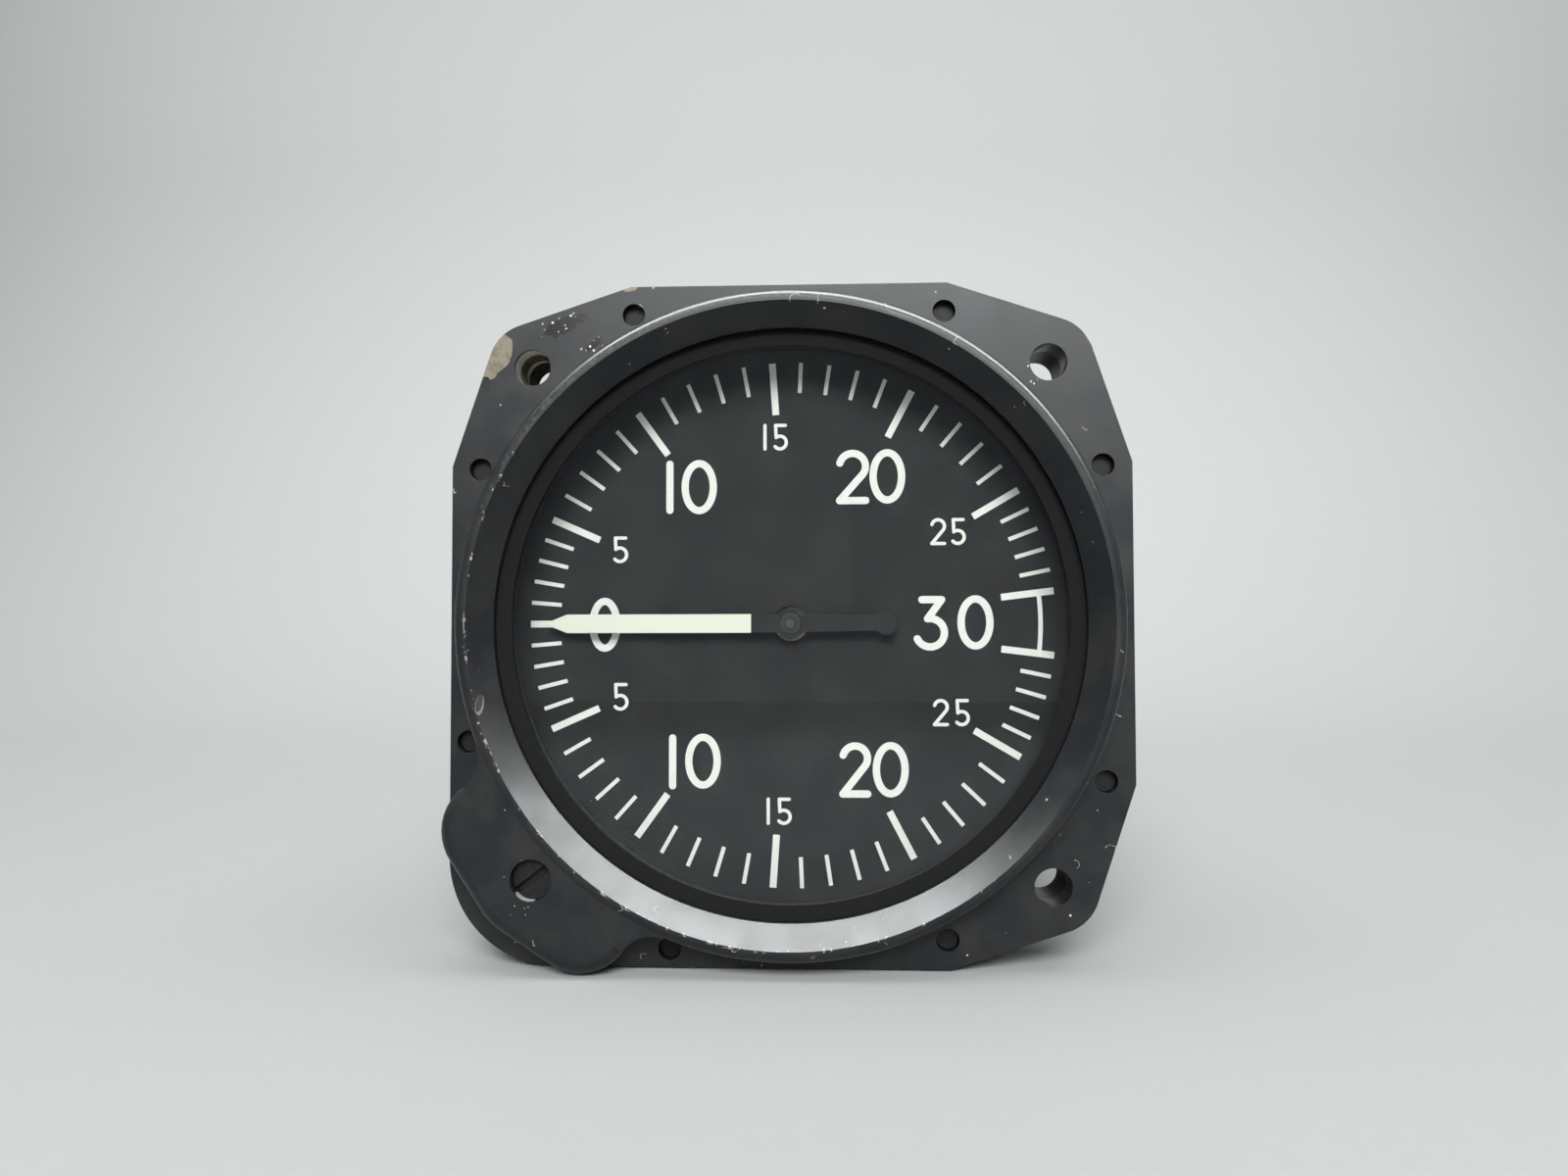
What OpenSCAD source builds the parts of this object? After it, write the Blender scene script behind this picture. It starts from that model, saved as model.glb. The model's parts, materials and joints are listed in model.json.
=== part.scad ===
// Panel instrument that shows an aircraft's rate of climb or descent.
// Millimetres. X to the right of the dial, Z up, Y to the rear.
// The origin is on the dial axis, in the plane of the flange's front face.

/* [Flange] */
// Distance between mounting holes, across and down
hole_spacing = 62.87; // [58:0.01:68]
// Distance from the outside of the raised ring to the middle of each mounting hole
hole_out = 4.91; // [4.6:0.01:5.4]
// Width of flange left beside the ring at the middle of each side
flange_side = 1.73; // [1.3:0.01:3]
// Half length of the straight stretch of each side
side_flat = 19.3; // [17:0.1:21]
// Diameter of the mounting holes
hole_d = 4.5; // [3.8:0.1:5]
// Metal left outside each mounting hole at its corner
corner_land = 3.25; // [2.6:0.05:3.8]
// Radius of the rounder corner behind the adjuster lobe
lobe_corner_r = 13; // [11:0.5:15]
// Thickness of the bezel's own flange layer
bezel_t = 4.6; // [4.2:0.1:6]
// Thickness of the gasket between bezel and case
gasket_t = 0.5; // [0.3:0.1:1]
// Thickness of the case's flange layer
case_flange_t = 6; // [5:0.1:8]

/* [Bezel ring] */
// Width of the ring, from its outside to the opening in front of the glass
ring_w = 4.05; // [3.6:0.05:4.6]
// Height of the ring in front of the flange
ring_h = 5.2; // [4.4:0.1:7]
// Rounding of the ring's outer front edge
ring_edge_r = 1.2; // [0.6:0.1:1.5]
// Width of the flat ridge along the front of the ring
ridge_w = 0.3; // [0.2:0.1:0.6]
// Depth of the conical face from ridge to glass
bevel_depth = 3.1; // [2.4:0.1:3.4]
// Thickness of the lip that the glass is pressed against
lip_t = 0.8; // [0.6:0.1:1.2]

/* [Adjuster lobe] */
// Distance from the outside of the ring to the adjuster's axis
adjuster_out = 3.02; // [2.6:0.01:4]
// Height of the lobe's face in front of the flange
lobe_h = 4.9; // [4:0.1:6]
// Radius of the lobe's rounded ends
lobe_end_r = 6.4; // [5.8:0.1:7]
// Radius of the lobe's middle, which sets how far it bulges outward
lobe_mid_r = 7.3; // [6.4:0.1:8]
// Angle from the lobe's middle to the middle of each rounded end
lobe_half_angle = 9.8; // [8:0.2:11]
// Rounding of the lobe's front edge
lobe_edge_r = 1.6; // [1:0.1:2]
// Radius of the hollow curves where the lobe runs into the ring
lobe_blend_r = 4; // [3:0.5:6]
// Diameter of the adjuster's head
adjuster_head_d = 4.84; // [4.4:0.02:5.2]
// Depth of the adjuster's head below the lobe's face
adjuster_recess = 1.4; // [0.6:0.1:2]
// Direction of the screwdriver slot at rest
slot_angle = 37; // [0:1:90]

/* [Bezel screws] */
// Distance of the bezel screws from the edge of the flange
bezel_screw_edge = 3.49; // [3:0.01:3.9]
// Distance of the bezel screws from the middle of each side
bezel_screw_off = 18.92; // [17.5:0.01:20.5]
// Distance of the two screws beside the lobe from the edge of the flange
lobe_screw_edge = 2.23; // [2:0.01:2.5]
// Distance of the two screws beside the lobe from the middle of each side
lobe_screw_off = 14.37; // [13.2:0.01:15.4]

/* [Glass and dial] */
// Thickness of the glass
lens_t = 2; // [1.6:0.1:2.4]
// Thickness of the seal in front of the glass
lens_seal_t = 0.4; // [0.3:0.1:0.6]
// Depth of the dial's face behind the flange's front face
dial_depth = 7.6; // [7.2:0.1:8.4]
// Thickness of the dial
dial_t = 1; // [0.8:0.1:1.2]
// Diameter of the dial's centre hole
dial_hole_d = 4.4; // [4:0.1:5]

/* [Case] */
// Step from the outside of the ring down to the barrel
barrel_step = 0.2; // [0.1:0.05:0.5]
// Wall thickness of the barrel
wall = 2.4; // [2.2:0.1:2.6]
// Distance from the flange's front face to the rear end of the barrel
case_len = 98; // [98:1:110]
// Thickness of the rear cover
cover_t = 3; // [2.5:0.1:4]
// Number of rear cover screws
cover_screws = 6; // [3:1:6]
// Diameter of the raised boss round the pressure fitting
cover_boss_d = 23; // [21:0.5:26]
// Width across flats of the fitting's hexagon
fitting_af = 16; // [15:0.5:18]
// Length of the fitting's hexagon
fitting_hex_l = 6; // [5:0.5:8]
// Bore of the tapped pressure port
port_d = 8.6; // [8:0.1:9]
// Depth of the tapped pressure port
port_l = 9; // [7:0.5:9]

/* [Pointer] */
// Width of the pointer blade
pointer_w = 2.36; // [2:0.02:2.8]
// Distance from the dial axis to the pointer's tip
pointer_r = 31; // [28:0.5:33]
// Length of the pointed end
pointer_point = 2.9; // [2:0.1:4]
// Distance from the dial axis to the middle of the counterweight
tail_r = 12; // [9:0.5:14]
// Radius of the counterweight disc
tail_disc_r = 1.5; // [1.3:0.1:2.2]
// Thickness of the pointer
pointer_t = 0.4; // [0.3:0.05:0.6]
// Gap between the pointer and the dial
pointer_gap = 1.8; // [1.4:0.1:2]

/* [Movement] */
// Module of the pointer's gear pair
gear_m = 0.4; // [0.38:0.01:0.42]
// Teeth on the pointer's pinion
pinion_teeth = 16; // [15:1:18]
// Teeth that the sector would have as a whole wheel
sector_full = 112; // [108:2:116]
// Teeth on each side of the sector's middle tooth
sector_side = 11; // [10:1:12]
// Length of the crank that the capsule works
crank_l = 3; // [2.6:0.1:3.4]
// Thickness of the movement's plates
plate_t = 1.5; // [1.2:0.1:2]
// Distance between the movement's plates
plate_gap = 10.5; // [10.5:0.1:12]
// Diameter of the plate pillars
pillar_d = 4.4; // [4:0.1:5]
// Turns of the hairspring
hair_turns = 5; // [3:1:6]

/* [Capsule and dashpots] */
// Distance of the bracket's shelf from the wall of the case above it
bracket_drop = 16.95; // [16:0.05:19]
// Gap between the capsule and each dashpot
capsule_gap = 3; // [2:0.1:5]
// Height of the pressure capsule
capsule_h = 8; // [6:0.5:9]
// Outer diameter of each dashpot
dashpot_d = 10; // [9:0.5:10]
// Length of each dashpot's cylinder
dashpot_l = 27; // [26:0.5:29]
// Length of each dashpot's piston
piston_l = 8; // [7:0.5:9]
// Turns of each dashpot spring
spring_turns = 6; // [4:1:7]

/* [Zero adjustment] */
// Module of the zero adjuster's gear pair
zero_m = 0.5; // [0.49:0.01:0.51]
// Teeth on the adjuster's pinion
zero_pinion_teeth = 12; // [12:1:13]
// Teeth that the zero sector would have as a whole wheel
zero_full = 60; // [58:2:62]
// Teeth on each side of the zero sector's middle tooth
zero_side = 5; // [4:1:6]

/* [Hidden] */

// Fineness of small and large round work
$fn = 48;
fn_large = 128;
fn_fine = 24;
// Overshoot of a cut past the face it opens
cut = 1;
// Radial clearance of a turning or sliding fit
run = 0.05;
// Clearance between parts that only pass each other
pass = 0.3;
// Radial gap round a screw in its hole
screw_gap = 0.05;

// Stack of layers from front to rear
gasket_y = bezel_t;
case_y = gasket_y + gasket_t;
case_back_y = case_y + case_flange_t;
lip_y = bevel_depth - ring_h;
lens_seal_y = lip_y + lip_t;
lens_y = lens_seal_y + lens_seal_t;
spacer_y = lens_y + lens_t;
dial_y = dial_depth;
dial_back_y = dial_y + dial_t;

// Radii of the ring, glass, spacer, dial and barrel
ring_r = hole_spacing / sqrt(2) - hole_out;
flange_w = 2 * (ring_r + flange_side);
ridge_r = ring_r - ring_edge_r;
sight_r = ring_r - ring_w;
barrel_r = ring_r - barrel_step;
bore_r = barrel_r - wall;
bezel_bore_step = 0.15;
bezel_bore_r = bore_r + bezel_bore_step;
lens_gap = 0.3;
lens_r = bezel_bore_r - lens_gap;
seal_step = 0.1;
spacer_gap = 0.25;
spacer_r = bore_r - spacer_gap;
spacer_edge = 0.4;
dial_gap = 0.35;
dial_r = bore_r - dial_gap;
dial_foot_r = 0.8;
dial_foot_at = 22;
dial_foot_angles = [20, 160];

// Case shoulder that the dial rests on, and the lugs that carry the movement
shoulder_w = 1.75;
shoulder_t = 1.8;
shoulder_y = dial_back_y + shoulder_t;
lug_t = 1.6;
lug_w = 8;
lug_half_angle = 7;
lug_angles = [75, 165, 315];
lug_y = shoulder_y + lug_t;
plate_screw_in = 3.95;
plate_screw_at = bore_r - plate_screw_in;

// Flange corners and fixings
hole_off = hole_spacing / 2;
hole_r = hole_d / 2;
corner_r = hole_r + corner_land;
corner_steps = 12;
edge_steps = 6;
insert_wall = 0.9;
insert_r = hole_r + insert_wall;
insert_y = 0.6;
insert_groove_y = 6;
insert_groove_w = 1.2;
insert_groove_deep = 0.55;
insert_rim_r = 4.3;
insert_rim_t = 1.3;
bezel_screw_x = flange_w / 2 - bezel_screw_edge;
lobe_screw_x = flange_w / 2 - lobe_screw_edge;
bezel_screw_pair = [[bezel_screw_x, bezel_screw_off], [bezel_screw_off, bezel_screw_x]];
lobe_screw_pair = [[lobe_screw_x, lobe_screw_off], [lobe_screw_off, lobe_screw_x]];
bezel_screw_at = concat(
    [for (q = [0, 1, 3], p = bezel_screw_pair) quarter(p, q)],
    [for (p = lobe_screw_pair) quarter(p, 2)]
);
bezel_head_r = 1.33;
bezel_head_t = 1.6;
bezel_head_y = 1.3;
bezel_shank_r = 0.9;
bezel_shank_land = 1.2;
bezel_shank_end = case_back_y - bezel_shank_land;

// Slot of a small screw, as shares of its head's radius and height
screw_slot_w = 0.33;
screw_slot_floor = 0.55;

// Rear end
rear_y = case_len;
rear_gasket_t = 0.5;
cover_y = rear_y + rear_gasket_t;
cover_back_y = cover_y + cover_t;
cover_edge = 0.6;
boss_t = 3;
boss_y = cover_back_y + boss_t;
seal_t = 0.8;
hex_y = boss_y + seal_t;
hex_edge = 0.7;
fitting_end_y = hex_y + fitting_hex_l;
fitting_wall = 1.3;
fitting_shank_r = port_d / 2 + fitting_wall;
fitting_shank_out = 0.5;
cover_screw_boss_r = 3;
cover_screw_gap = 0.3;
cover_screw_at = bore_r - cover_screw_boss_r - cover_screw_gap;
cover_screw_turn = 60;
cover_boss_l = 10;
cover_screw_head_r = 2.3;
cover_screw_head_t = 1.7;
cover_shank_r = 1.25;
cover_shank_l = 7;
nipple_r = 2.6;
nipple_bore_r = 1.2;

// Adjuster lobe
adjuster_r = ring_r + adjuster_out;
adjuster_off = adjuster_r / sqrt(2);
lobe_angle = 225;
lobe_face_y = -lobe_h;
blend_bite = 0.05;

// Zero adjuster train
gear_backlash = 0.08;
pressure_angle = 20;
flank_steps = 5;
zero_pinion_r = zero_m * zero_pinion_teeth / 2;
zero_sector_r = zero_m * zero_full / 2;
zero_addendum = 0.7;
zero_at = [-adjuster_off, -adjuster_off];
zero_pivot_at = zero_at + (zero_pinion_r + zero_sector_r) * [cos(45), sin(45)];
zero_sector_gap = 1.1;
zero_sector_y = dial_back_y + zero_sector_gap;
zero_sector_t = 1.2;
zero_hub_l = 2.1;
zero_hub_r = 3.2;
zero_cam_r = 4.6;
zero_cam_off = 1;
zero_window_in = 6.75;
zero_window_rim = 3.75;
zero_pivot_r = 1.5;
zero_head_r = 2.7;
zero_head_t = 0.5;
zero_head_gap = 0.1;
zero_pocket_gap = 0.5;
zero_pocket_y = dial_back_y + zero_pocket_gap;
zero_pocket_t = 2.6;
zero_pocket_back = zero_pocket_y + zero_pocket_t;
zero_pocket_wall = 2;
zero_tip_gap = 0.6;
zero_journal_r = 1.5;
zero_journal_l = 1.9;
zero_boss_wall = 3.8;
zero_floor_t = 2.9;
zero_gear_over = 0.2;
adjuster_bore_r = adjuster_head_d / 2 + run;
slot_w = 0.9;
slot_deep = 0.9;
o_ring_y = 1.2;
o_ring_w = 1.2;
o_ring_deep = 0.75;
collar_r = 3.2;
collar_t = 0.8;
collar_gap = 0.1;

// Pointer and its staff
pointer_back_y = dial_y - pointer_gap;
pointer_y = pointer_back_y - pointer_t;
staff_r = 0.6;
staff_stand = 0.2;
hub_sleeve_r = 1.4;
hub_rim_r = 1.9;
hub_rim_t = 0.5;
hub_l = 2.4;
tail_taper = 0.8;

// Movement plates
front_plate_y = lug_y;
front_plate_back = front_plate_y + plate_t;
front_plate_r = bore_r - dial_gap;
front_window_r = 5;
front_window_at = 22;
front_window_angles = [105, 285];
rear_plate_y = front_plate_back + plate_gap;
rear_plate_back = rear_plate_y + plate_t;
rear_plate_in = 2.5;
rear_plate_r = bore_r - rear_plate_in;
rear_window_r = 6;
rear_window_at = 20;
rear_window_angles = [0, 180, 315];
pillar_in = 5.95;
pillar_at = bore_r - pillar_in;
pillar_angles = [50, 130, 200, 340];
pillar_spigot_r = 1.3;
pillar_tap_l = 4;
pillar_screw_l = 3;
jewel_r = 1.5;
small_head_r = 1.9;
small_head_t = 1.1;
small_shank_r = 1;

// Sector and pinion
stub = 0.8;
pinion_r = gear_m * pinion_teeth / 2;
sector_r = gear_m * sector_full / 2;
centre_d = pinion_r + sector_r;
shaft_drop = sqrt(centre_d * centre_d - crank_l * crank_l);
shaft_at = [-crank_l, -shaft_drop];
mesh_angle = atan2(shaft_drop, crank_l);
sector_gap = 2.4;
sector_y = front_plate_back + sector_gap;
sector_t = 1.2;
pinion_over = 0.8;
pinion_y = sector_y - pinion_over;
pinion_t = sector_t + 2 * pinion_over;
sector_rim_w = 3.2;
sector_hub_r = 3;
sector_hub_l = 3;
sector_hub_over = 0.6;
sector_arm_w = 2.4;
sector_arm_in = 5;
sector_arm_root = 1;
shaft_r = 1.1;
shaft_hole_gap = 1;
shaft_journal_r = 0.7;
staff_journal_r = 0.45;
journal_short = 0.2;

// Hairspring
hair_gap = 1.6;
hair_y = pinion_y + pinion_t + hair_gap;
hair_w = 0.6;
hair_t = 0.2;
hair_in_r = 2.1;
hair_out_r = 7;
hair_step = 18;
hair_over = 0.5;
collet_r = 1.9;
collet_l = 1.6;
hair_stud_r = 0.8;
hair_stud_at = [hair_out_r + hair_t + hair_stud_r, 0];

// Bracket that carries capsule and dashpots, and its rear leg for the rocking shaft
bracket_y = rear_plate_back;
bracket_t = 2;
bracket_w = 26;
bracket_z = bore_r - bracket_drop;
bracket_top = bracket_z + bracket_t;
bracket_foot_l = 12;
bracket_foot_z = bracket_z - bracket_foot_l;
bracket_screw_in = 4;
leg_gap = 1.2;
leg_below = 5;
bracket_leg_z = -shaft_drop - leg_below;
leg_frame_w = 6;
leg_window_low = 8;
leg_window_drop = 10;
leg_window_high = bracket_z - leg_window_drop;
leg_corner = 7;
ear_w = 13;
ear_land = 0.4;

// Dashpots, as far out as the wall of the case lets nuts and cylinders go
dashpot_r = dashpot_d / 2;
dashpot_wall = 0.8;
dashpot_bore_r = dashpot_r - dashpot_wall;
dashpot_cap_t = 2;
dashpot_hang = 5;
dashpot_top = bracket_z - dashpot_hang - dashpot_cap_t;
dashpot_low = dashpot_top - dashpot_l;
dashpot_floor_t = 1.5;
dashpot_floor = dashpot_low + dashpot_floor_t;
dashpot_neck_r = 2.4;
dashpot_stud_r = 1.4;
dashpot_nut_r = 2.5;
dashpot_nut_t = 2;
case_gap = 1.2;
dashpot_nut_reach = reach(bracket_top + dashpot_nut_t) - dashpot_nut_r;
dashpot_low_reach = reach(dashpot_low) - dashpot_r;
dashpot_x = min(dashpot_nut_reach, dashpot_low_reach);
spring_l = 12;
piston_low = dashpot_floor + spring_l;
piston_r = dashpot_bore_r - run;
piston_waist = 0.5;
spring_wire_r = 0.35;
spring_gap = 0.6;
spring_coil_r = dashpot_bore_r - spring_wire_r - spring_gap;
spring_rings = 12;
spring_sides = 6;
vent_r = 0.5;
vent_off = 3.2;

// Capsule and its push rod
capsule_r = dashpot_x - dashpot_r - capsule_gap;
capsule_y = bracket_y + bracket_t + leg_gap + capsule_r;
bracket_rear_y = capsule_y + capsule_r + leg_gap;
bracket_back = bracket_rear_y + bracket_t;
neck_r = 3.6;
neck_l = 2.4;
capsule_top = bracket_z - neck_l;
capsule_low = capsule_top - capsule_h;
shell_t = 0.5;
shell_steps = 40;
rim_w = 1.5;
rim_share = 0.35;
crown_w = 3;
corrugations = 3;
corrugation_deep = 0.9;
wave_land = 1;
wave_in = neck_r + wave_land;
wave_edge = 4;
wave_out = capsule_r - wave_edge;
neck_thread_r = 2.4;
nut_t = 2.4;
nut_r = 4.2;
stud_foot_r = 3;
stud_foot_t = 1.2;
stud_rod_r = 1;

// Crank, the fork that holds its pin, and the balance arm
crank_t = 1.8;
crank_hub_wall = 0.9;
crank_pin_r = 0.6;
crank_pin_wall = 0.7;
crank_web = 0.4;
fork_t = 2.4;
fork_side = 1.5;
fork_play = 0.12;
fork_open = 1.2;
fork_closed = 2.4;
fork_slot_end = 0.9;
crank_front_y = capsule_y - fork_t / 2 - pass - crank_t;
balance_l = 9;
balance_r = 2.8;
balance_t = 3;
balance_hub_wall = 1.3;
balance_arm_w = 2;

// Tubes, restrictor and bimetal strip
tube_r = 1;
bend_r = 4;
link_z = dashpot_floor + spring_l / 2;
block_w = 16;
block_l = 10;
block_edge = 1.5;
block_top = 6;
block_below = 3.5;
block_low = link_z - block_below;
block_gap = 4;
block_back = rear_y - block_gap;
block_y = block_back - block_l;
link_y = block_y + block_l / 2;
tube_rise = 3.5;
static_z = bracket_top + nut_t + tube_rise + bend_r;
static_back = 7.5;
jet_r = 2.4;
jet_head_l = 2;
jet_l = 5;
jet_z = -3;
jet_nose_r = 1.6;
jet_thread_r = 1.2;
jet_thread_l = 3.5;
jet_bore_r = 0.3;
tap_spare = 0.5;
strip_w = 5;
strip_t = 0.6;
strip_below = 4;
strip_low = jet_z - strip_below;
strip_gap = 0.8;
strip_foot_l = 11.5;
strip_screw_in = 3;
strip_screw_y = block_y + strip_screw_in;
strip_head_r = 1.8;
strip_head_t = 1.2;
strip_shank_r = 0.95;
strip_shank_l = 4;
strip_tap_r = 1;

function polar(r, a) = [r * cos(a), r * sin(a)];

function cover_screw_place(i, r = cover_screw_at) = polar(r, cover_screw_turn + i * 360 / cover_screws);

// How far out, at height z, a part may reach inside the case
function reach(z) = sqrt(pow(bore_r - case_gap, 2) - z * z);

// Screws of the capsule bracket, side -1 left and 1 right
function bracket_screw_at(x) = [x * (bracket_w / 2 - bracket_screw_in), bracket_z - bracket_screw_in];

// Points on an arc about centre c, from angle a to angle b
function arc(c, r, a, b, n) = [for (i = [0:n]) c + polar(r, a + (b - a) * i / n)];

// Turn each point about the origin by a quarter, q times
function quarter(p, q) = [p[0] * cos(90 * q) - p[1] * sin(90 * q), p[0] * sin(90 * q) + p[1] * cos(90 * q)];

// Angle, seen from an arc's centre, at which a line from point p touches the arc
function touch_angle(c, r, p) = atan2(p[1] - c[1], p[0] - c[0]) - acos(r / norm(p - c));

// One corner of the flange: the sloping side, the arc round the mounting hole, the next slope
function plain_corner(q) =
    let (side = flange_w / 2,
         c = [hole_off, hole_off],
         a = touch_angle(c, corner_r, [side_flat, side]),
         round = arc(c, corner_r, 90 - a, a, corner_steps))
    [for (p = concat([[side, side_flat]], round, [[side_flat, side]])) quarter(p, q)];

// The corner behind the lobe is one quarter circle
function round_corner(q) =
    let (c = flange_w / 2 - lobe_corner_r)
    [for (p = arc([c, c], lobe_corner_r, 0, 90, 2 * corner_steps)) quarter(p, q)];

// Involute of an angle, in degrees
function inv(a) = tan(a) * 180 / PI - a;

// Half of a tooth's thickness at radius r, as an angle
function tooth_half(r, pitch, n) =
    let (base = pitch * cos(pressure_angle),
         at_pitch = 90 / n - gear_backlash * 90 / (PI * pitch))
    at_pitch + inv(pressure_angle) - inv(acos(min(1, base / max(r, base))));

// Outline of one tooth centred on angle a: up one flank and down the other
function tooth(a, m, pitch, n, add) =
    let (root = pitch - m,
         tip = pitch + add * m,
         rise = [for (i = [0:flank_steps]) root + (tip - root) * i / flank_steps],
         fall = [for (i = [flank_steps:-1:0]) rise[i]])
    concat([for (r = rise) polar(r, a - tooth_half(r, pitch, n))],
           [for (r = fall) polar(r, a + tooth_half(r, pitch, n))]);

// Outline of the teeth numbered first to last, tooth 0 centred on angle a
function teeth(a, m, pitch, n, add, first, last) =
    [for (k = [first:last], p = tooth(a + k * 360 / n, m, pitch, n, add)) p];

// Extrude a front view from depth y0 to depth y1
module slab(y0, y1) {
    translate([0, y1, 0])
        rotate([90, 0, 0])
            linear_extrude(y1 - y0)
                children();
}

// Round bar or drill along the depth, at a place in the front view
module bar(r, y0, y1, at = [0, 0]) {
    translate([at[0], y1, at[1]])
        rotate([90, 0, 0])
            cylinder(r = r, h = y1 - y0);
}

// Ring along the depth
module ring(r_out, r_in, y0, y1, at = [0, 0]) {
    difference() {
        bar(r_out, y0, y1, at);
        bar(r_in, y0 - cut, y1 + cut, at);
    }
}

// Revolve a profile of radius and depth about the dial axis
module turned(profile) {
    rotate([-90, 0, 0])
        rotate_extrude()
            polygon(profile);
}

// Upright round bar
module post(r, z0, z1, x, y) {
    translate([x, y, z0])
        cylinder(r = r, h = z1 - z0);
}

// Screw along the depth: head, shank and slot, its head towards the front or the rear
module slotted_screw(head_r, head_t, shank_r, shank_l, at, y_seat, dir) {
    translate([at[0], y_seat, at[1]])
        rotate([dir * 90, 0, 0])
            difference() {
                union() {
                    cylinder(r = head_r, h = head_t, $fn = fn_fine);
                    translate([0, 0, -shank_l])
                        cylinder(r = shank_r, h = shank_l + head_t / 2, $fn = fn_fine);
                }
                translate([-head_r - cut, -head_r * screw_slot_w / 2, head_t * screw_slot_floor])
                    cube([2 * (head_r + cut), head_r * screw_slot_w, head_t]);
            }
}

module flange_outline() {
    polygon(concat(plain_corner(0), plain_corner(1), round_corner(2), plain_corner(3)));
}

module mounting_holes(y0, y1) {
    for (q = [0, 1, 3])
        bar(hole_r, y0, y1, quarter([hole_off, hole_off], q));
}

module bezel_screw_holes(r, y0, y1) {
    for (s = bezel_screw_at)
        bar(r, y0, y1, s, $fn = fn_fine);
}

// Disc with a rounded front edge, one of the shapes that the lobe is drawn round
module lobe_button(a, r) {
    at = polar(adjuster_r, a);
    translate([at[0], 0, at[1]])
        rotate([-90, 0, 0])
            rotate_extrude($fn = 40)
                polygon(concat([[0, bezel_t], [0, lobe_face_y]],
                    arc([r - lobe_edge_r, lobe_face_y + lobe_edge_r], lobe_edge_r, -90, 0, edge_steps),
                    [[r, bezel_t]]));
}

// Hollow curves beside the lobe: a gusset between ring and lobe end, less a round bite.
// The bite runs a little way into both, so that it meets them at an angle.
module lobe_gusset(side) {
    end = polar(adjuster_r, lobe_angle + side * lobe_half_angle);
    a = ring_r + lobe_blend_r - blend_bite;
    b = lobe_end_r + lobe_blend_r - blend_bite;
    turn = acos((a * a + adjuster_r * adjuster_r - b * b) / (2 * a * adjuster_r));
    bite = polar(a, lobe_angle + side * (lobe_half_angle + turn));
    difference() {
        polygon([polar(sight_r, lobe_angle), end, bite, bite * sight_r / a]);
        translate(bite)
            circle(r = lobe_blend_r);
    }
}

module bezel_frame() {
    color([0.13, 0.14, 0.15])
        difference() {
            union() {
                slab(0, bezel_t) flange_outline();
                turned(concat([[0, bezel_t], [0, -ring_h]],
                    arc([ridge_r, ring_edge_r - ring_h], ring_edge_r, -90, 0, edge_steps),
                    [[ring_r, bezel_t]]), $fn = fn_large);
                hull() {
                    lobe_button(lobe_angle, lobe_mid_r);
                    for (s = [-1, 1])
                        lobe_button(lobe_angle + s * lobe_half_angle, lobe_end_r);
                }
                slab(lobe_face_y, bezel_t)
                    for (s = [-1, 1])
                        lobe_gusset(s);
            }
            turned([[0, -ring_h - cut], [ridge_r - ridge_w, -ring_h - cut], [ridge_r - ridge_w, -ring_h],
                [sight_r, lip_y], [sight_r, lens_seal_y], [bezel_bore_r, lens_seal_y],
                [bezel_bore_r, bezel_t + cut], [0, bezel_t + cut]], $fn = fn_large);
            mounting_holes(-cut, bezel_t + cut);
            bar(insert_r, insert_y, bezel_t + cut, quarter([hole_off, hole_off], 1));
            bezel_screw_holes(bezel_head_r + screw_gap, -cut, bezel_head_y + bezel_head_t);
            bezel_screw_holes(bezel_shank_r + screw_gap, 0, bezel_t + cut);
            bar(adjuster_bore_r, -ring_h - cut, bezel_t + cut, zero_at);
        }
}

// Tapped sleeve in the upper left mounting hole
module mounting_insert() {
    at = quarter([hole_off, hole_off], 1);
    color([0.78, 0.74, 0.66])
        difference() {
            union() {
                bar(insert_r, insert_y, case_back_y, at);
                bar(insert_rim_r, case_back_y, case_back_y + insert_rim_t, at);
            }
            bar(hole_r, 0, case_back_y + insert_rim_t + cut, at);
            bar(hole_r + insert_groove_deep, insert_groove_y, insert_groove_y + insert_groove_w, at);
        }
}

// Sealing compound fills the slots of the bezel's screws, so their heads are even discs
module bezel_screws() {
    color([0.1, 0.1, 0.11])
        for (s = bezel_screw_at) {
            bar(bezel_head_r, bezel_head_y, bezel_head_y + bezel_head_t, s, $fn = fn_fine);
            bar(bezel_shank_r, bezel_head_y + bezel_head_t / 2, bezel_shank_end, s, $fn = fn_fine);
        }
}

module bezel_gasket() {
    color([0.16, 0.13, 0.12])
        difference() {
            slab(gasket_y, case_y) flange_outline();
            bar(bezel_bore_r, gasket_y - cut, case_y + cut, $fn = fn_large);
            mounting_holes(gasket_y - cut, case_y + cut);
            bar(insert_r, gasket_y - cut, case_y + cut, quarter([hole_off, hole_off], 1));
            bezel_screw_holes(bezel_shank_r + screw_gap, gasket_y - cut, case_y + cut);
            bar(collar_r + pass, gasket_y - cut, case_y + cut, zero_at);
        }
}

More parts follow.
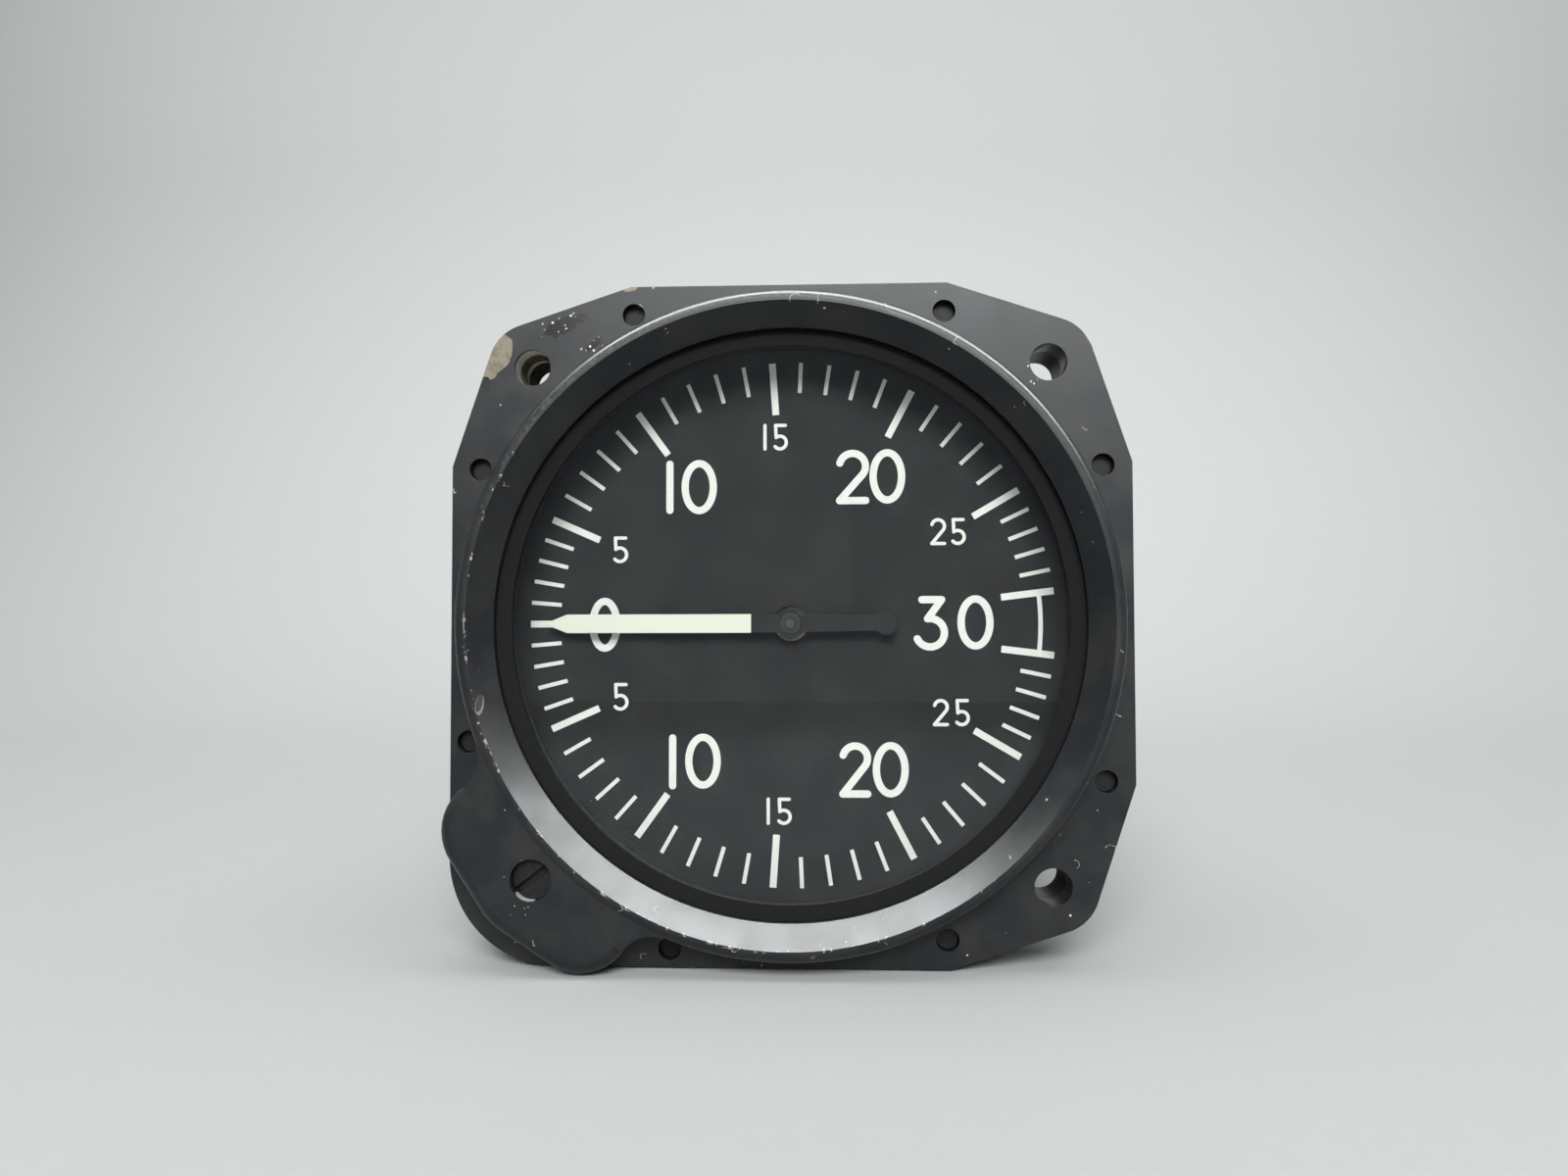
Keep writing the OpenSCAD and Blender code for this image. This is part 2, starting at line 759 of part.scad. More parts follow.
// Cast body: flange layer, barrel, dial shoulder, movement lugs and adjuster pocket
module case_barrel() {
    pocket_r = zero_sector_r + zero_addendum * zero_m + zero_tip_gap;
    pinion_pocket_r = zero_pinion_r + zero_addendum * zero_m + zero_tip_gap;
    boss_back = zero_pocket_back + zero_floor_t;
    color([0.12, 0.125, 0.135])
        difference() {
            union() {
                slab(case_y, case_back_y) flange_outline();
                bar(barrel_r, case_y, rear_y, $fn = fn_large);
                slab(case_back_y, boss_back) {
                    translate(zero_at)
                        circle(r = pinion_pocket_r + zero_boss_wall);
                    translate(zero_pivot_at)
                        circle(r = pocket_r + zero_pocket_wall);
                }
            }
            difference() {
                bar(bore_r, case_y - cut, rear_y + cut, $fn = fn_large);
                ring(bore_r + cut, bore_r - shoulder_w, dial_back_y, shoulder_y, $fn = fn_large);
                for (a = lug_angles)
                    slab(shoulder_y, lug_y)
                        polygon([for (p = [[-lug_w, -1], [cut, -1], [cut, 1], [-lug_w, 1]])
                            polar(bore_r + p[0], a + p[1] * lug_half_angle)]);
                for (i = [0:cover_screws - 1])
                    slab(rear_y - cover_boss_l, rear_y) {
                        translate(cover_screw_place(i))
                            circle(r = cover_screw_boss_r);
                        translate(cover_screw_place(i, cover_screw_at + cover_screw_gap + wall / 2))
                            circle(r = cover_screw_boss_r);
                    }
            }
            bar(pocket_r, zero_pocket_y, zero_pocket_back, zero_pivot_at);
            bar(pinion_pocket_r, case_y - cut, zero_pocket_back, zero_at);
            bar(zero_journal_r + run, zero_pocket_back - cut, zero_pocket_back + zero_journal_l + pass,
                zero_at);
            mounting_holes(case_y - cut, case_back_y + cut);
            bar(insert_r, case_y - cut, case_back_y + cut, quarter([hole_off, hole_off], 1));
            bezel_screw_holes(bezel_shank_r + screw_gap, case_y - cut, bezel_shank_end + pass);
            for (a = lug_angles)
                bar(small_shank_r + screw_gap, shoulder_y - cut, lug_y + cut, polar(plate_screw_at, a));
            for (i = [0:cover_screws - 1])
                bar(cover_shank_r + screw_gap, cover_back_y - cover_shank_l - pass, rear_y + cut,
                    cover_screw_place(i));
        }
}

module lens() {
    color([0.85, 0.92, 0.95, 0.25])
        bar(lens_r, lens_y, spacer_y, $fn = fn_large);
}

module lens_seal() {
    color([0.08, 0.08, 0.08])
        ring(lens_r, sight_r + seal_step, lens_seal_y, lens_y, $fn = fn_large);
}

// Black sleeve that spaces the dial from the glass
module dial_spacer() {
    color([0.07, 0.07, 0.075])
        turned([[sight_r, spacer_y], [spacer_r, spacer_y], [spacer_r, dial_y],
            [sight_r + spacer_edge, dial_y], [sight_r, dial_y - spacer_edge]], $fn = fn_large);
}

// Dial plate with its two riveted feet
module dial() {
    color([0.09, 0.09, 0.095])
        difference() {
            union() {
                bar(dial_r, dial_y, dial_back_y, $fn = fn_large);
                for (a = dial_foot_angles)
                    bar(dial_foot_r, dial_y + dial_t / 2, front_plate_back + dial_t / 2,
                        polar(dial_foot_at, a), $fn = fn_fine);
            }
            bar(dial_hole_d / 2, dial_y - cut, dial_back_y + cut);
        }
}

module rear_cover() {
    color([0.12, 0.125, 0.135])
        difference() {
            turned([[0, cover_y], [barrel_r, cover_y], [barrel_r, cover_back_y - cover_edge],
                [barrel_r - cover_edge, cover_back_y], [cover_boss_d / 2, cover_back_y],
                [cover_boss_d / 2 - cover_edge, boss_y], [0, boss_y]], $fn = fn_large);
            bar(fitting_shank_r + screw_gap, cover_y - cut, boss_y + cut);
            for (i = [0:cover_screws - 1])
                bar(cover_shank_r + screw_gap, cover_y - cut, cover_back_y + cut,
                    cover_screw_place(i));
        }
}

module rear_gasket() {
    color([0.16, 0.13, 0.12])
        difference() {
            ring(barrel_r, cover_screw_at - cover_screw_boss_r, rear_y, cover_y, $fn = fn_large);
            for (i = [0:cover_screws - 1])
                bar(cover_shank_r + screw_gap, rear_y - cut, cover_y + cut,
                    cover_screw_place(i));
        }
}

module rear_screws() {
    color([0.7, 0.7, 0.72])
        for (i = [0:cover_screws - 1])
            slotted_screw(cover_screw_head_r, cover_screw_head_t, cover_shank_r, cover_shank_l,
                cover_screw_place(i), cover_back_y, -1);
}

// Hexagon fitting with the tapped pressure port and an inner nipple
module static_fitting() {
    hex_r = fitting_af / sqrt(3);
    color([0.72, 0.6, 0.34])
        difference() {
            union() {
                intersection() {
                    bar(hex_r, hex_y, fitting_end_y, $fn = 6);
                    turned([[0, hex_y], [hex_r, hex_y], [hex_r, fitting_end_y - hex_edge],
                        [hex_r - 2 * hex_edge, fitting_end_y], [0, fitting_end_y]]);
                }
                bar(fitting_shank_r, cover_y - fitting_shank_out, hex_y + cut / 2);
                bar(nipple_r, block_back, cover_y);
            }
            bar(port_d / 2, fitting_end_y - port_l, fitting_end_y + cut);
            bar(nipple_bore_r, block_back - cut, fitting_end_y - port_l + cut);
        }
}

module fitting_seal() {
    color([0.2, 0.1, 0.09])
        ring(fitting_af / 2, fitting_shank_r + screw_gap, boss_y, hex_y);
}

// Adjuster spindle: slotted head, groove, retaining collar, pinion and rear journal
module zero_screw() {
    head_y = lobe_face_y + adjuster_recess;
    head_r = adjuster_head_d / 2;
    collar_y = case_y + collar_gap;
    gear_y = zero_sector_y - zero_gear_over;
    gear_back = zero_pocket_back - pass;
    color([0.35, 0.35, 0.37])
        difference() {
            union() {
                bar(head_r, head_y, collar_y + collar_t, zero_at);
                bar(collar_r, collar_y, collar_y + collar_t, zero_at);
                bar(zero_journal_r, collar_y, zero_pocket_back + zero_journal_l, zero_at);
                slab(gear_y, gear_back)
                    translate(zero_at)
                        polygon(teeth(45 + 180 / zero_pinion_teeth, zero_m, zero_pinion_r,
                            zero_pinion_teeth, zero_addendum, 0, zero_pinion_teeth - 1));
            }
            ring(head_r + cut, head_r - o_ring_deep, o_ring_y, o_ring_y + o_ring_w, zero_at);
            translate([zero_at[0], head_y, zero_at[1]])
                rotate([0, -slot_angle, 0])
                    cube([2 * (head_r + cut), 2 * slot_deep, slot_w], center = true);
        }
}

module zero_o_ring() {
    head_r = adjuster_head_d / 2;
    mid_r = head_r + run / 2 - o_ring_deep / 2;
    color([0.06, 0.06, 0.06])
        translate([zero_at[0], o_ring_y + o_ring_w / 2, zero_at[1]])
            rotate([-90, 0, 0])
                rotate_extrude()
                    translate([mid_r, 0])
                        circle(r = o_ring_deep / 2, $fn = fn_fine);
}

// Toothed sector behind the dial with the cam that shifts the zero
module zero_sector() {
    step = 360 / zero_full;
    half = (zero_side + 0.5) * step;
    color([0.8, 0.66, 0.36])
        difference() {
            union() {
                slab(zero_sector_y, zero_sector_y + zero_sector_t)
                    translate(zero_pivot_at)
                        union() {
                            polygon(concat([[0, 0]], teeth(lobe_angle, zero_m, zero_sector_r, zero_full,
                                zero_addendum, -zero_side, zero_side)));
                            circle(r = zero_hub_r);
                        }
                bar(zero_cam_r, zero_sector_y + zero_sector_t / 2, zero_sector_y + zero_hub_l,
                    zero_pivot_at + polar(zero_cam_off, 45));
            }
            bar(zero_pivot_r + run, zero_sector_y - cut, front_plate_y + cut, zero_pivot_at);
            slab(zero_sector_y - cut, zero_sector_y + zero_sector_t + cut)
                translate(zero_pivot_at)
                    polygon(concat(
                        arc([0, 0], zero_window_in, lobe_angle - half / 2, lobe_angle + half / 2, edge_steps),
                        arc([0, 0], zero_sector_r - zero_window_rim, lobe_angle + half / 2,
                            lobe_angle - half / 2, edge_steps)));
        }
}

// Shoulder screw that the zero sector turns on
module zero_pivot() {
    y0 = zero_sector_y - zero_head_gap;
    color([0.62, 0.62, 0.64])
        union() {
            bar(zero_head_r, y0 - zero_head_t, y0, zero_pivot_at);
            bar(zero_pivot_r, y0 - zero_head_t / 2, front_plate_y, zero_pivot_at);
            bar(small_shank_r, front_plate_y - cut / 2, front_plate_back, zero_pivot_at);
        }
}

module front_plate() {
    color([0.76, 0.7, 0.5])
        difference() {
            bar(front_plate_r, front_plate_y, front_plate_back, $fn = fn_large);
            bar(jewel_r, front_plate_y - cut, front_plate_back + cut);
            bar(jewel_r, front_plate_y - cut, front_plate_back + cut, shaft_at);
            bar(small_shank_r, front_plate_y - cut, front_plate_back + cut, zero_pivot_at);
            for (a = lug_angles)
                bar(small_shank_r + screw_gap, front_plate_y - cut, front_plate_back + cut,
                    polar(plate_screw_at, a));
            for (a = pillar_angles)
                bar(pillar_spigot_r, front_plate_y - cut, front_plate_back + cut, polar(pillar_at, a));
            for (a = dial_foot_angles)
                bar(dial_foot_r + 2 * run, front_plate_y - cut, front_plate_back + cut, polar(dial_foot_at, a));
            for (a = front_window_angles)
                bar(front_window_r, front_plate_y - cut, front_plate_back + cut, polar(front_window_at, a));
        }
}

module plate_screws() {
    color([0.7, 0.7, 0.72])
        for (a = lug_angles)
            slotted_screw(small_head_r, small_head_t, small_shank_r, plate_t + lug_t,
                polar(plate_screw_at, a), front_plate_back, -1);
}

// Rear plate of the movement, pierced to lighten it
module rear_plate() {
    color([0.76, 0.7, 0.5])
        difference() {
            bar(rear_plate_r, rear_plate_y, rear_plate_back, $fn = fn_large);
            bar(jewel_r, rear_plate_y - cut, rear_plate_back + cut);
            bar(shaft_r + shaft_hole_gap, rear_plate_y - cut, rear_plate_back + cut, shaft_at);
            for (a = pillar_angles)
                bar(small_shank_r + screw_gap, rear_plate_y - cut, rear_plate_back + cut, polar(pillar_at, a));
            for (x = [-1, 1])
                bar(small_shank_r + screw_gap, rear_plate_y - cut, rear_plate_back + cut, bracket_screw_at(x));
            for (a = rear_window_angles)
                bar(rear_window_r, rear_plate_y - cut, rear_plate_back + cut, polar(rear_window_at, a));
            bar(hair_stud_r, rear_plate_y - cut, rear_plate_back + cut, hair_stud_at);
        }
}

module pillars() {
    color([0.8, 0.66, 0.36])
        for (a = pillar_angles)
            difference() {
                union() {
                    bar(pillar_d / 2, front_plate_back, rear_plate_y, polar(pillar_at, a));
                    bar(pillar_spigot_r, front_plate_y, front_plate_back + cut, polar(pillar_at, a));
                }
                bar(small_shank_r + screw_gap, rear_plate_y - pillar_tap_l, rear_plate_y + cut,
                    polar(pillar_at, a));
            }
}

module pillar_screws() {
    color([0.7, 0.7, 0.72])
        for (a = pillar_angles)
            slotted_screw(small_head_r, small_head_t, small_shank_r, plate_t + pillar_screw_l,
                polar(pillar_at, a), rear_plate_back, -1);
}

// Jewels that the pointer staff turns in
module staff_jewels() {
    color([0.75, 0.12, 0.25])
        union() {
            ring(jewel_r, staff_r + run, front_plate_y, front_plate_back);
            ring(jewel_r, staff_journal_r + run, rear_plate_y, rear_plate_back);
        }
}

// Jewels that the rocking shaft turns in
module shaft_jewels() {
    color([0.75, 0.12, 0.25])
        union() {
            ring(jewel_r, shaft_journal_r + run, front_plate_y, front_plate_back, shaft_at);
            ring(jewel_r, shaft_journal_r + run, bracket_rear_y, bracket_back, shaft_at);
        }
}

// Flat pointer: pointed blade to the left, tail with its round counterweight to the right
module pointer() {
    half = pointer_w / 2;
    color([0.93, 0.92, 0.84])
        difference() {
            union() {
                slab(pointer_y, pointer_back_y)
                    polygon([[-pointer_r, 0], [-pointer_r + pointer_point, half], [0, half],
                        [tail_r, half * tail_taper], [tail_r, -half * tail_taper], [0, -half],
                        [-pointer_r + pointer_point, -half]]);
                bar(tail_disc_r, pointer_y, pointer_back_y, [tail_r, 0]);
                bar(hub_rim_r, pointer_y, pointer_back_y);
            }
            bar(hub_sleeve_r, pointer_y - cut, pointer_back_y + cut);
        }
}

// Bush that grips the pointer on its staff
module pointer_hub() {
    color([0.12, 0.12, 0.12])
        difference() {
            union() {
                bar(hub_sleeve_r, pointer_y, pointer_y + hub_l);
                bar(hub_rim_r, pointer_back_y, pointer_back_y + hub_rim_t);
            }
            bar(staff_r, pointer_y - cut, pointer_y + hub_l + cut);
        }
}

// Pointer staff and pinion in one piece
module pinion_staff() {
    color([0.66, 0.66, 0.68])
        union() {
            bar(staff_r, pointer_y - staff_stand, rear_plate_y - run, $fn = fn_fine);
            bar(staff_journal_r, rear_plate_y - cut, rear_plate_back - journal_short, $fn = fn_fine);
            slab(pinion_y, pinion_y + pinion_t)
                polygon(teeth(mesh_angle + 180 + 180 / pinion_teeth, gear_m, pinion_r,
                    pinion_teeth, stub, 0, pinion_teeth - 1));
        }
}

module spring_collet() {
    color([0.8, 0.66, 0.36])
        ring(collet_r, staff_r, hair_y - hair_over, hair_y - hair_over + collet_l);
}

// Spiral strip, worked out from its two edges
module hairspring() {
    last = hair_turns * 360 / hair_step;
    pitch = (hair_out_r - hair_in_r) / last;
    color([0.35, 0.38, 0.5])
        slab(hair_y, hair_y + hair_w)
            polygon(concat([for (i = [0:last]) polar(hair_in_r + pitch * i, i * hair_step)],
                [for (i = [last:-1:0]) polar(hair_in_r + pitch * i + hair_t, i * hair_step)]));
}

module hairspring_stud() {
    color([0.8, 0.66, 0.36])
        bar(hair_stud_r, hair_y - hair_over, rear_plate_back, hair_stud_at);
}

// Toothed sector on two arms
module sector_gear() {
    hub_y = sector_y - sector_hub_over;
    step = 360 / sector_full;
    half = (sector_side + 0.5) * step;
    root = sector_r - gear_m;
    color([0.8, 0.66, 0.36])
        difference() {
            union() {
                slab(sector_y, sector_y + sector_t)
                    translate(shaft_at)
                        union() {
                            polygon(concat(
                                teeth(mesh_angle, gear_m, sector_r, sector_full, stub,
                                    -sector_side, sector_side),
                                arc([0, 0], root - sector_rim_w, mesh_angle + half, mesh_angle - half,
                                    corner_steps)));
                            for (s = [-1, 1])
                                rotate(mesh_angle + s * (half - sector_arm_in))
                                    translate([0, -sector_arm_w / 2])
                                        square([root - sector_arm_root, sector_arm_w]);
                        }
                bar(sector_hub_r, hub_y, hub_y + sector_hub_l, shaft_at);
            }
            bar(shaft_r, sector_y - cut, sector_y + sector_hub_l + cut, shaft_at);
        }
}

// Rocking shaft with the crank that the capsule turns
module rocking_shaft() {
    pin_end = crank_front_y + crank_t + pass + fork_t + pass;
    web = crank_pin_r + crank_web;
    color([0.66, 0.66, 0.68])
        union() {
            bar(shaft_r, front_plate_back + run, bracket_rear_y - run, shaft_at, $fn = fn_fine);
            bar(shaft_journal_r, front_plate_y + journal_short, bracket_back - journal_short, shaft_at,
                $fn = fn_fine);
            slab(crank_front_y, crank_front_y + crank_t) {
                translate(shaft_at)
                    circle(r = shaft_r + crank_hub_wall);
                translate(shaft_at + [crank_l, 0])
                    circle(r = crank_pin_r + crank_pin_wall);
                translate(shaft_at + [0, -web])
                    square([crank_l, 2 * web]);
            }
            bar(crank_pin_r, crank_front_y + crank_t / 2, pin_end, shaft_at + [crank_l, 0], $fn = fn_fine);
        }
}

// Counterweight arm pressed on the rocking shaft
module balance_arm() {
    y0 = rear_plate_back + bracket_t + pass;
    color([0.8, 0.66, 0.36])
        difference() {
            union() {
                slab(y0, y0 + balance_t / 2) {
                    translate(shaft_at)
                        circle(r = shaft_r + balance_hub_wall);
                    translate(shaft_at + [-balance_l, -balance_arm_w / 2])
                        square([balance_l, balance_arm_w]);
                }
                bar(balance_r, y0, y0 + balance_t, shaft_at - [balance_l, 0]);
            }
            bar(shaft_r, y0 - cut, y0 + balance_t + cut, shaft_at);
        }
}

// Bent bracket: foot on the rear plate, shelf over the capsule, rear leg for the shaft
module capsule_bracket() {
    color([0.62, 0.63, 0.65])
        difference() {
            union() {
                translate([-bracket_w / 2, 0, 0])
                    rotate([90, 0, 90])
                        linear_extrude(bracket_w)
                            polygon([[bracket_y, bracket_foot_z], [bracket_y, bracket_top],
                                [bracket_back, bracket_top], [bracket_back, bracket_leg_z],
                                [bracket_rear_y, bracket_leg_z],
                                [bracket_rear_y, bracket_z], [bracket_y + bracket_t, bracket_z],
                                [bracket_y + bracket_t, bracket_foot_z]]);
                translate([0, 0, bracket_z])
                    linear_extrude(bracket_t)
                        union() {
                            translate([-dashpot_x, capsule_y - ear_w / 2])
                                square([2 * dashpot_x, ear_w]);
                            for (x = [-1, 1])
                                translate([x * dashpot_x, capsule_y])
                                    circle(r = dashpot_nut_r + ear_land);
                        }
            }
            post(neck_thread_r, bracket_z - cut, bracket_top + cut, 0, capsule_y);
            for (x = [-1, 1]) {
                post(dashpot_stud_r + screw_gap, bracket_z - cut, bracket_top + cut, x * dashpot_x, capsule_y);
                bar(small_shank_r + screw_gap, bracket_y - cut, bracket_y + bracket_t + cut,
                    bracket_screw_at(x));
            }
            bar(jewel_r, bracket_rear_y - cut, bracket_back + cut, shaft_at);
            slab(bracket_rear_y - cut, bracket_back + cut)
                translate([-bracket_w / 2 + leg_frame_w, -shaft_drop + leg_window_low])
                    square([bracket_w - 2 * leg_frame_w, shaft_drop + leg_window_high - leg_window_low]);
            for (x = [-1, 1])
                translate([x * bracket_w / 2, bracket_rear_y - cut, bracket_leg_z])
                    rotate([0, 45, 0])
                        cube([leg_corner, 2 * (bracket_t + cut), leg_corner], center = true);
        }
}

module bracket_screws() {
    color([0.7, 0.7, 0.72])
        for (x = [-1, 1])
            slotted_screw(small_head_r, small_head_t, small_shank_r, bracket_t + plate_t,
                bracket_screw_at(x), bracket_y + bracket_t, -1);
}

// Height of the capsule's corrugated shell above its middle plane, at radius r
function shell_z(r) =
    let (inside = capsule_r - rim_w - r,
         rim = rim_share * (1 + inside / rim_w),
         crown = rim_share + (1 - rim_share) * min(1, inside / crown_w),
         wave = (r - wave_in) / (wave_out - wave_in),
         dip = wave > 0 && wave < 1 ? corrugation_deep * (1 - cos(wave * 360 * corrugations)) / 2 : 0)
    capsule_h / 2 * (inside < 0 ? rim : crown) - dip;

// Two corrugated shells joined at the rim, with the neck that hangs from the bracket
module capsule() {
    mid = (capsule_top + capsule_low) / 2;
    radii = [for (i = [0:shell_steps]) capsule_r * i / shell_steps];
    color([0.78, 0.62, 0.3])
        translate([0, capsule_y, 0])
            union() {
                rotate_extrude()
                    polygon(concat([for (r = radii) [r, mid + shell_z(r)]],
                        [for (i = [shell_steps - 1:-1:0]) [radii[i], mid - shell_z(radii[i])]]));
                translate([0, 0, capsule_top - shell_t])
                    cylinder(r = neck_r, h = neck_l + shell_t);
                translate([0, 0, bracket_z - cut])
                    cylinder(r = neck_thread_r, h = bracket_t + nut_t + cut);
            }
}

module capsule_nut() {
    color([0.7, 0.7, 0.72])
        translate([0, capsule_y, bracket_top])
            difference() {
                cylinder(r = nut_r, h = nut_t, $fn = 6);
                translate([0, 0, -cut])
                    cylinder(r = neck_thread_r, h = nut_t + 2 * cut);
            }
}

// Push rod under the capsule, with the fork that holds the crank pin
module capsule_stud() {
    slot_h = 2 * (crank_pin_r + fork_play);
    head_h = slot_h + 2 * fork_side;
    color([0.66, 0.66, 0.68])
        difference() {
            union() {
                post(stud_foot_r, capsule_low - stud_foot_t, capsule_low, 0, capsule_y);
                post(stud_rod_r, -shaft_drop + (head_h - cut) / 2, capsule_low - stud_foot_t / 2, 0, capsule_y);
                translate([-fork_open, capsule_y - fork_t / 2, -shaft_drop - head_h / 2])
                    cube([fork_open + fork_closed, fork_t, head_h]);
            }
            translate([-fork_open - cut, capsule_y - fork_t / 2 - cut, -shaft_drop - slot_h / 2])
                cube([fork_open + cut + fork_slot_end, fork_t + 2 * cut, slot_h]);
        }
}

module dashpot_cylinders() {
    color([0.8, 0.66, 0.36])
        for (x = [-1, 1])
            difference() {
                post(dashpot_r, dashpot_low, dashpot_top, x * dashpot_x, capsule_y);
                post(dashpot_bore_r, dashpot_floor, dashpot_top + cut, x * dashpot_x, capsule_y);
                bar(tube_r, capsule_y, capsule_y + dashpot_r + cut, [x * dashpot_x, link_z]);
            }
}

module dashpot_caps() {
    color([0.66, 0.66, 0.68])
        for (x = [-1, 1])
            difference() {
                union() {
                    post(dashpot_r, dashpot_top, dashpot_top + dashpot_cap_t, x * dashpot_x, capsule_y);
                    post(dashpot_neck_r, dashpot_top + dashpot_cap_t / 2, bracket_z, x * dashpot_x, capsule_y);
                    post(dashpot_stud_r, bracket_z - cut, bracket_top + dashpot_nut_t,
                        x * dashpot_x, capsule_y);
                }
                post(vent_r, dashpot_top - cut, dashpot_top + dashpot_cap_t + cut,
                    x * (dashpot_x + vent_off), capsule_y);
            }
}

module dashpot_nuts() {
    color([0.7, 0.7, 0.72])
        for (x = [-1, 1])
            translate([x * dashpot_x, capsule_y, bracket_top])
                difference() {
                    cylinder(r = dashpot_nut_r, h = dashpot_nut_t, $fn = 6);
                    translate([0, 0, -cut])
                        cylinder(r = dashpot_stud_r + screw_gap, h = dashpot_nut_t + 2 * cut);
                }
}

// Dashpot piston with a waist, side -1 left and 1 right
module piston(side) {
    color([0.72, 0.72, 0.74])
        translate([side * dashpot_x, capsule_y, piston_low])
            rotate_extrude()
                polygon([[0, 0], [piston_r, 0], [piston_r, piston_l / 4],
                    [piston_r - piston_waist, piston_l / 4 + piston_waist],
                    [piston_r - piston_waist, piston_l * 3 / 4 - piston_waist],
                    [piston_r, piston_l * 3 / 4], [piston_r, piston_l], [0, piston_l]]);
}

module dashpot_piston_left() {
    piston(-1);
}

module dashpot_piston_right() {
    piston(1);
}

// Coil spring as one swept tube: a ring of points at each step along the helix
module coil_spring(side) {
    z0 = dashpot_floor + spring_wire_r + run;
    z1 = piston_low - spring_wire_r - run;
    last = spring_turns * spring_rings;
    climb = (z1 - z0) / last;
    rings = [for (i = [0:last], k = [0:spring_sides - 1])
        let (a = i * 360 / spring_rings,
             b = k * 360 / spring_sides,
             r = spring_coil_r + spring_wire_r * cos(b))
        [r * cos(a), r * sin(a), z0 + climb * i + spring_wire_r * sin(b)]];
    sides = [for (i = [0:last - 1], k = [0:spring_sides - 1])
        let (a = i * spring_sides + k,
             b = i * spring_sides + (k + 1) % spring_sides)
        each [[a, b + spring_sides, b], [a, a + spring_sides, b + spring_sides]]];
    ends = [[for (k = [0:spring_sides - 1]) k],
        [for (k = [spring_sides - 1:-1:0]) last * spring_sides + k]];
    color([0.6, 0.6, 0.62])
        translate([side * dashpot_x, capsule_y, 0])
            polyhedron(rings, concat(sides, ends));
}

module dashpot_spring_left() {
    coil_spring(-1);
}

module dashpot_spring_right() {
    coil_spring(1);
}

// Quarter bend of tube in the plane of two axes, its centre at the origin
module bend() {
    rotate_extrude(angle = 90, $fn = fn_large)
        translate([bend_r, 0])
            circle(r = tube_r, $fn = fn_fine);
}

// Tubes from the dashpots back to the restrictor block
module dashpot_tubes() {
    start_y = capsule_y + dashpot_r - dashpot_wall / 2;
    color([0.75, 0.45, 0.28])
        for (x = [-1, 1])
            translate([0, 0, link_z]) {
                translate([x * dashpot_x, start_y, 0])
                    rotate([-90, 0, 0])
                        cylinder(r = tube_r, h = link_y - bend_r - start_y, $fn = fn_fine);
                translate([x * (dashpot_x - bend_r), link_y - bend_r, 0])
                    rotate([0, 0, x > 0 ? 0 : 90])
                        bend();
                translate([x * block_w / 2, link_y, 0])
                    rotate([0, x * 90, 0])
                        cylinder(r = tube_r, h = dashpot_x - bend_r - block_w / 2, $fn = fn_fine);
            }
}

// Brass block that joins the pressure lines and carries the calibrated leak
module restrictor_block() {
    half = block_w / 2;
    flat = half - block_edge;
    color([0.8, 0.66, 0.36])
        difference() {
            slab(block_y, block_back)
                polygon([[-half, block_low + block_edge], [-flat, block_low], [flat, block_low],
                    [half, block_low + block_edge], [half, block_top - block_edge], [flat, block_top],
                    [-flat, block_top], [-half, block_top - block_edge]]);
            bar(nipple_bore_r, link_y, block_back + cut);
            bar(jet_thread_r + screw_gap, block_y - cut, block_y + jet_thread_l + tap_spare, [0, jet_z]);
            post(strip_tap_r, block_top - strip_shank_l - tap_spare, block_top + cut, 0, strip_screw_y);
        }
}

module restrictor_jet() {
    color([0.86, 0.86, 0.82])
        difference() {
            union() {
                bar(jet_r, block_y - jet_head_l, block_y, [0, jet_z], $fn = 6);
                bar(jet_nose_r, block_y - jet_l, block_y - jet_head_l / 2, [0, jet_z]);
                bar(jet_thread_r, block_y - jet_head_l / 2, block_y + jet_thread_l, [0, jet_z]);
            }
            bar(jet_bore_r, block_y - jet_l - cut, block_y + jet_thread_l + cut, [0, jet_z]);
        }
}

// Bimetal strip that trims the leak with temperature
module bimetal_strip() {
    blade_y = block_y - jet_l - strip_gap - strip_t;
    foot_y = blade_y + strip_foot_l;
    color([0.7, 0.5, 0.36])
        difference() {
            translate([-strip_w / 2, 0, 0])
                rotate([90, 0, 90])
                    linear_extrude(strip_w)
                        polygon([[blade_y, strip_low], [blade_y, block_top + strip_t],
                            [foot_y, block_top + strip_t], [foot_y, block_top],
                            [blade_y + strip_t, block_top], [blade_y + strip_t, strip_low]]);
            post(strip_tap_r + screw_gap, block_top - cut, block_top + strip_t + cut, 0, strip_screw_y);
        }
}

module bimetal_screw() {
    head_z = block_top + strip_t;
    color([0.7, 0.7, 0.72])
        union() {
            post(strip_head_r, head_z, head_z + strip_head_t, 0, strip_screw_y);
            post(strip_shank_r, block_top - strip_shank_l, head_z + strip_head_t / 2, 0, strip_screw_y);
        }
}

// Tube from the restrictor block up and forward to the top of the capsule
module static_tube() {
    back_y = block_y + static_back;
    top = bracket_top + nut_t;
    color([0.75, 0.45, 0.28])
        union() {
            post(tube_r, top, static_z - bend_r, 0, capsule_y);
            translate([0, capsule_y + bend_r, static_z - bend_r])
                rotate([0, -90, 0])
                    rotate([0, 0, -90])
                        bend();
            bar(tube_r, capsule_y + bend_r, back_y - bend_r, [0, static_z]);
            translate([0, back_y - bend_r, static_z - bend_r])
                rotate([0, -90, 0])
                    bend();
            post(tube_r, block_top, static_z - bend_r, 0, back_y);
        }
}

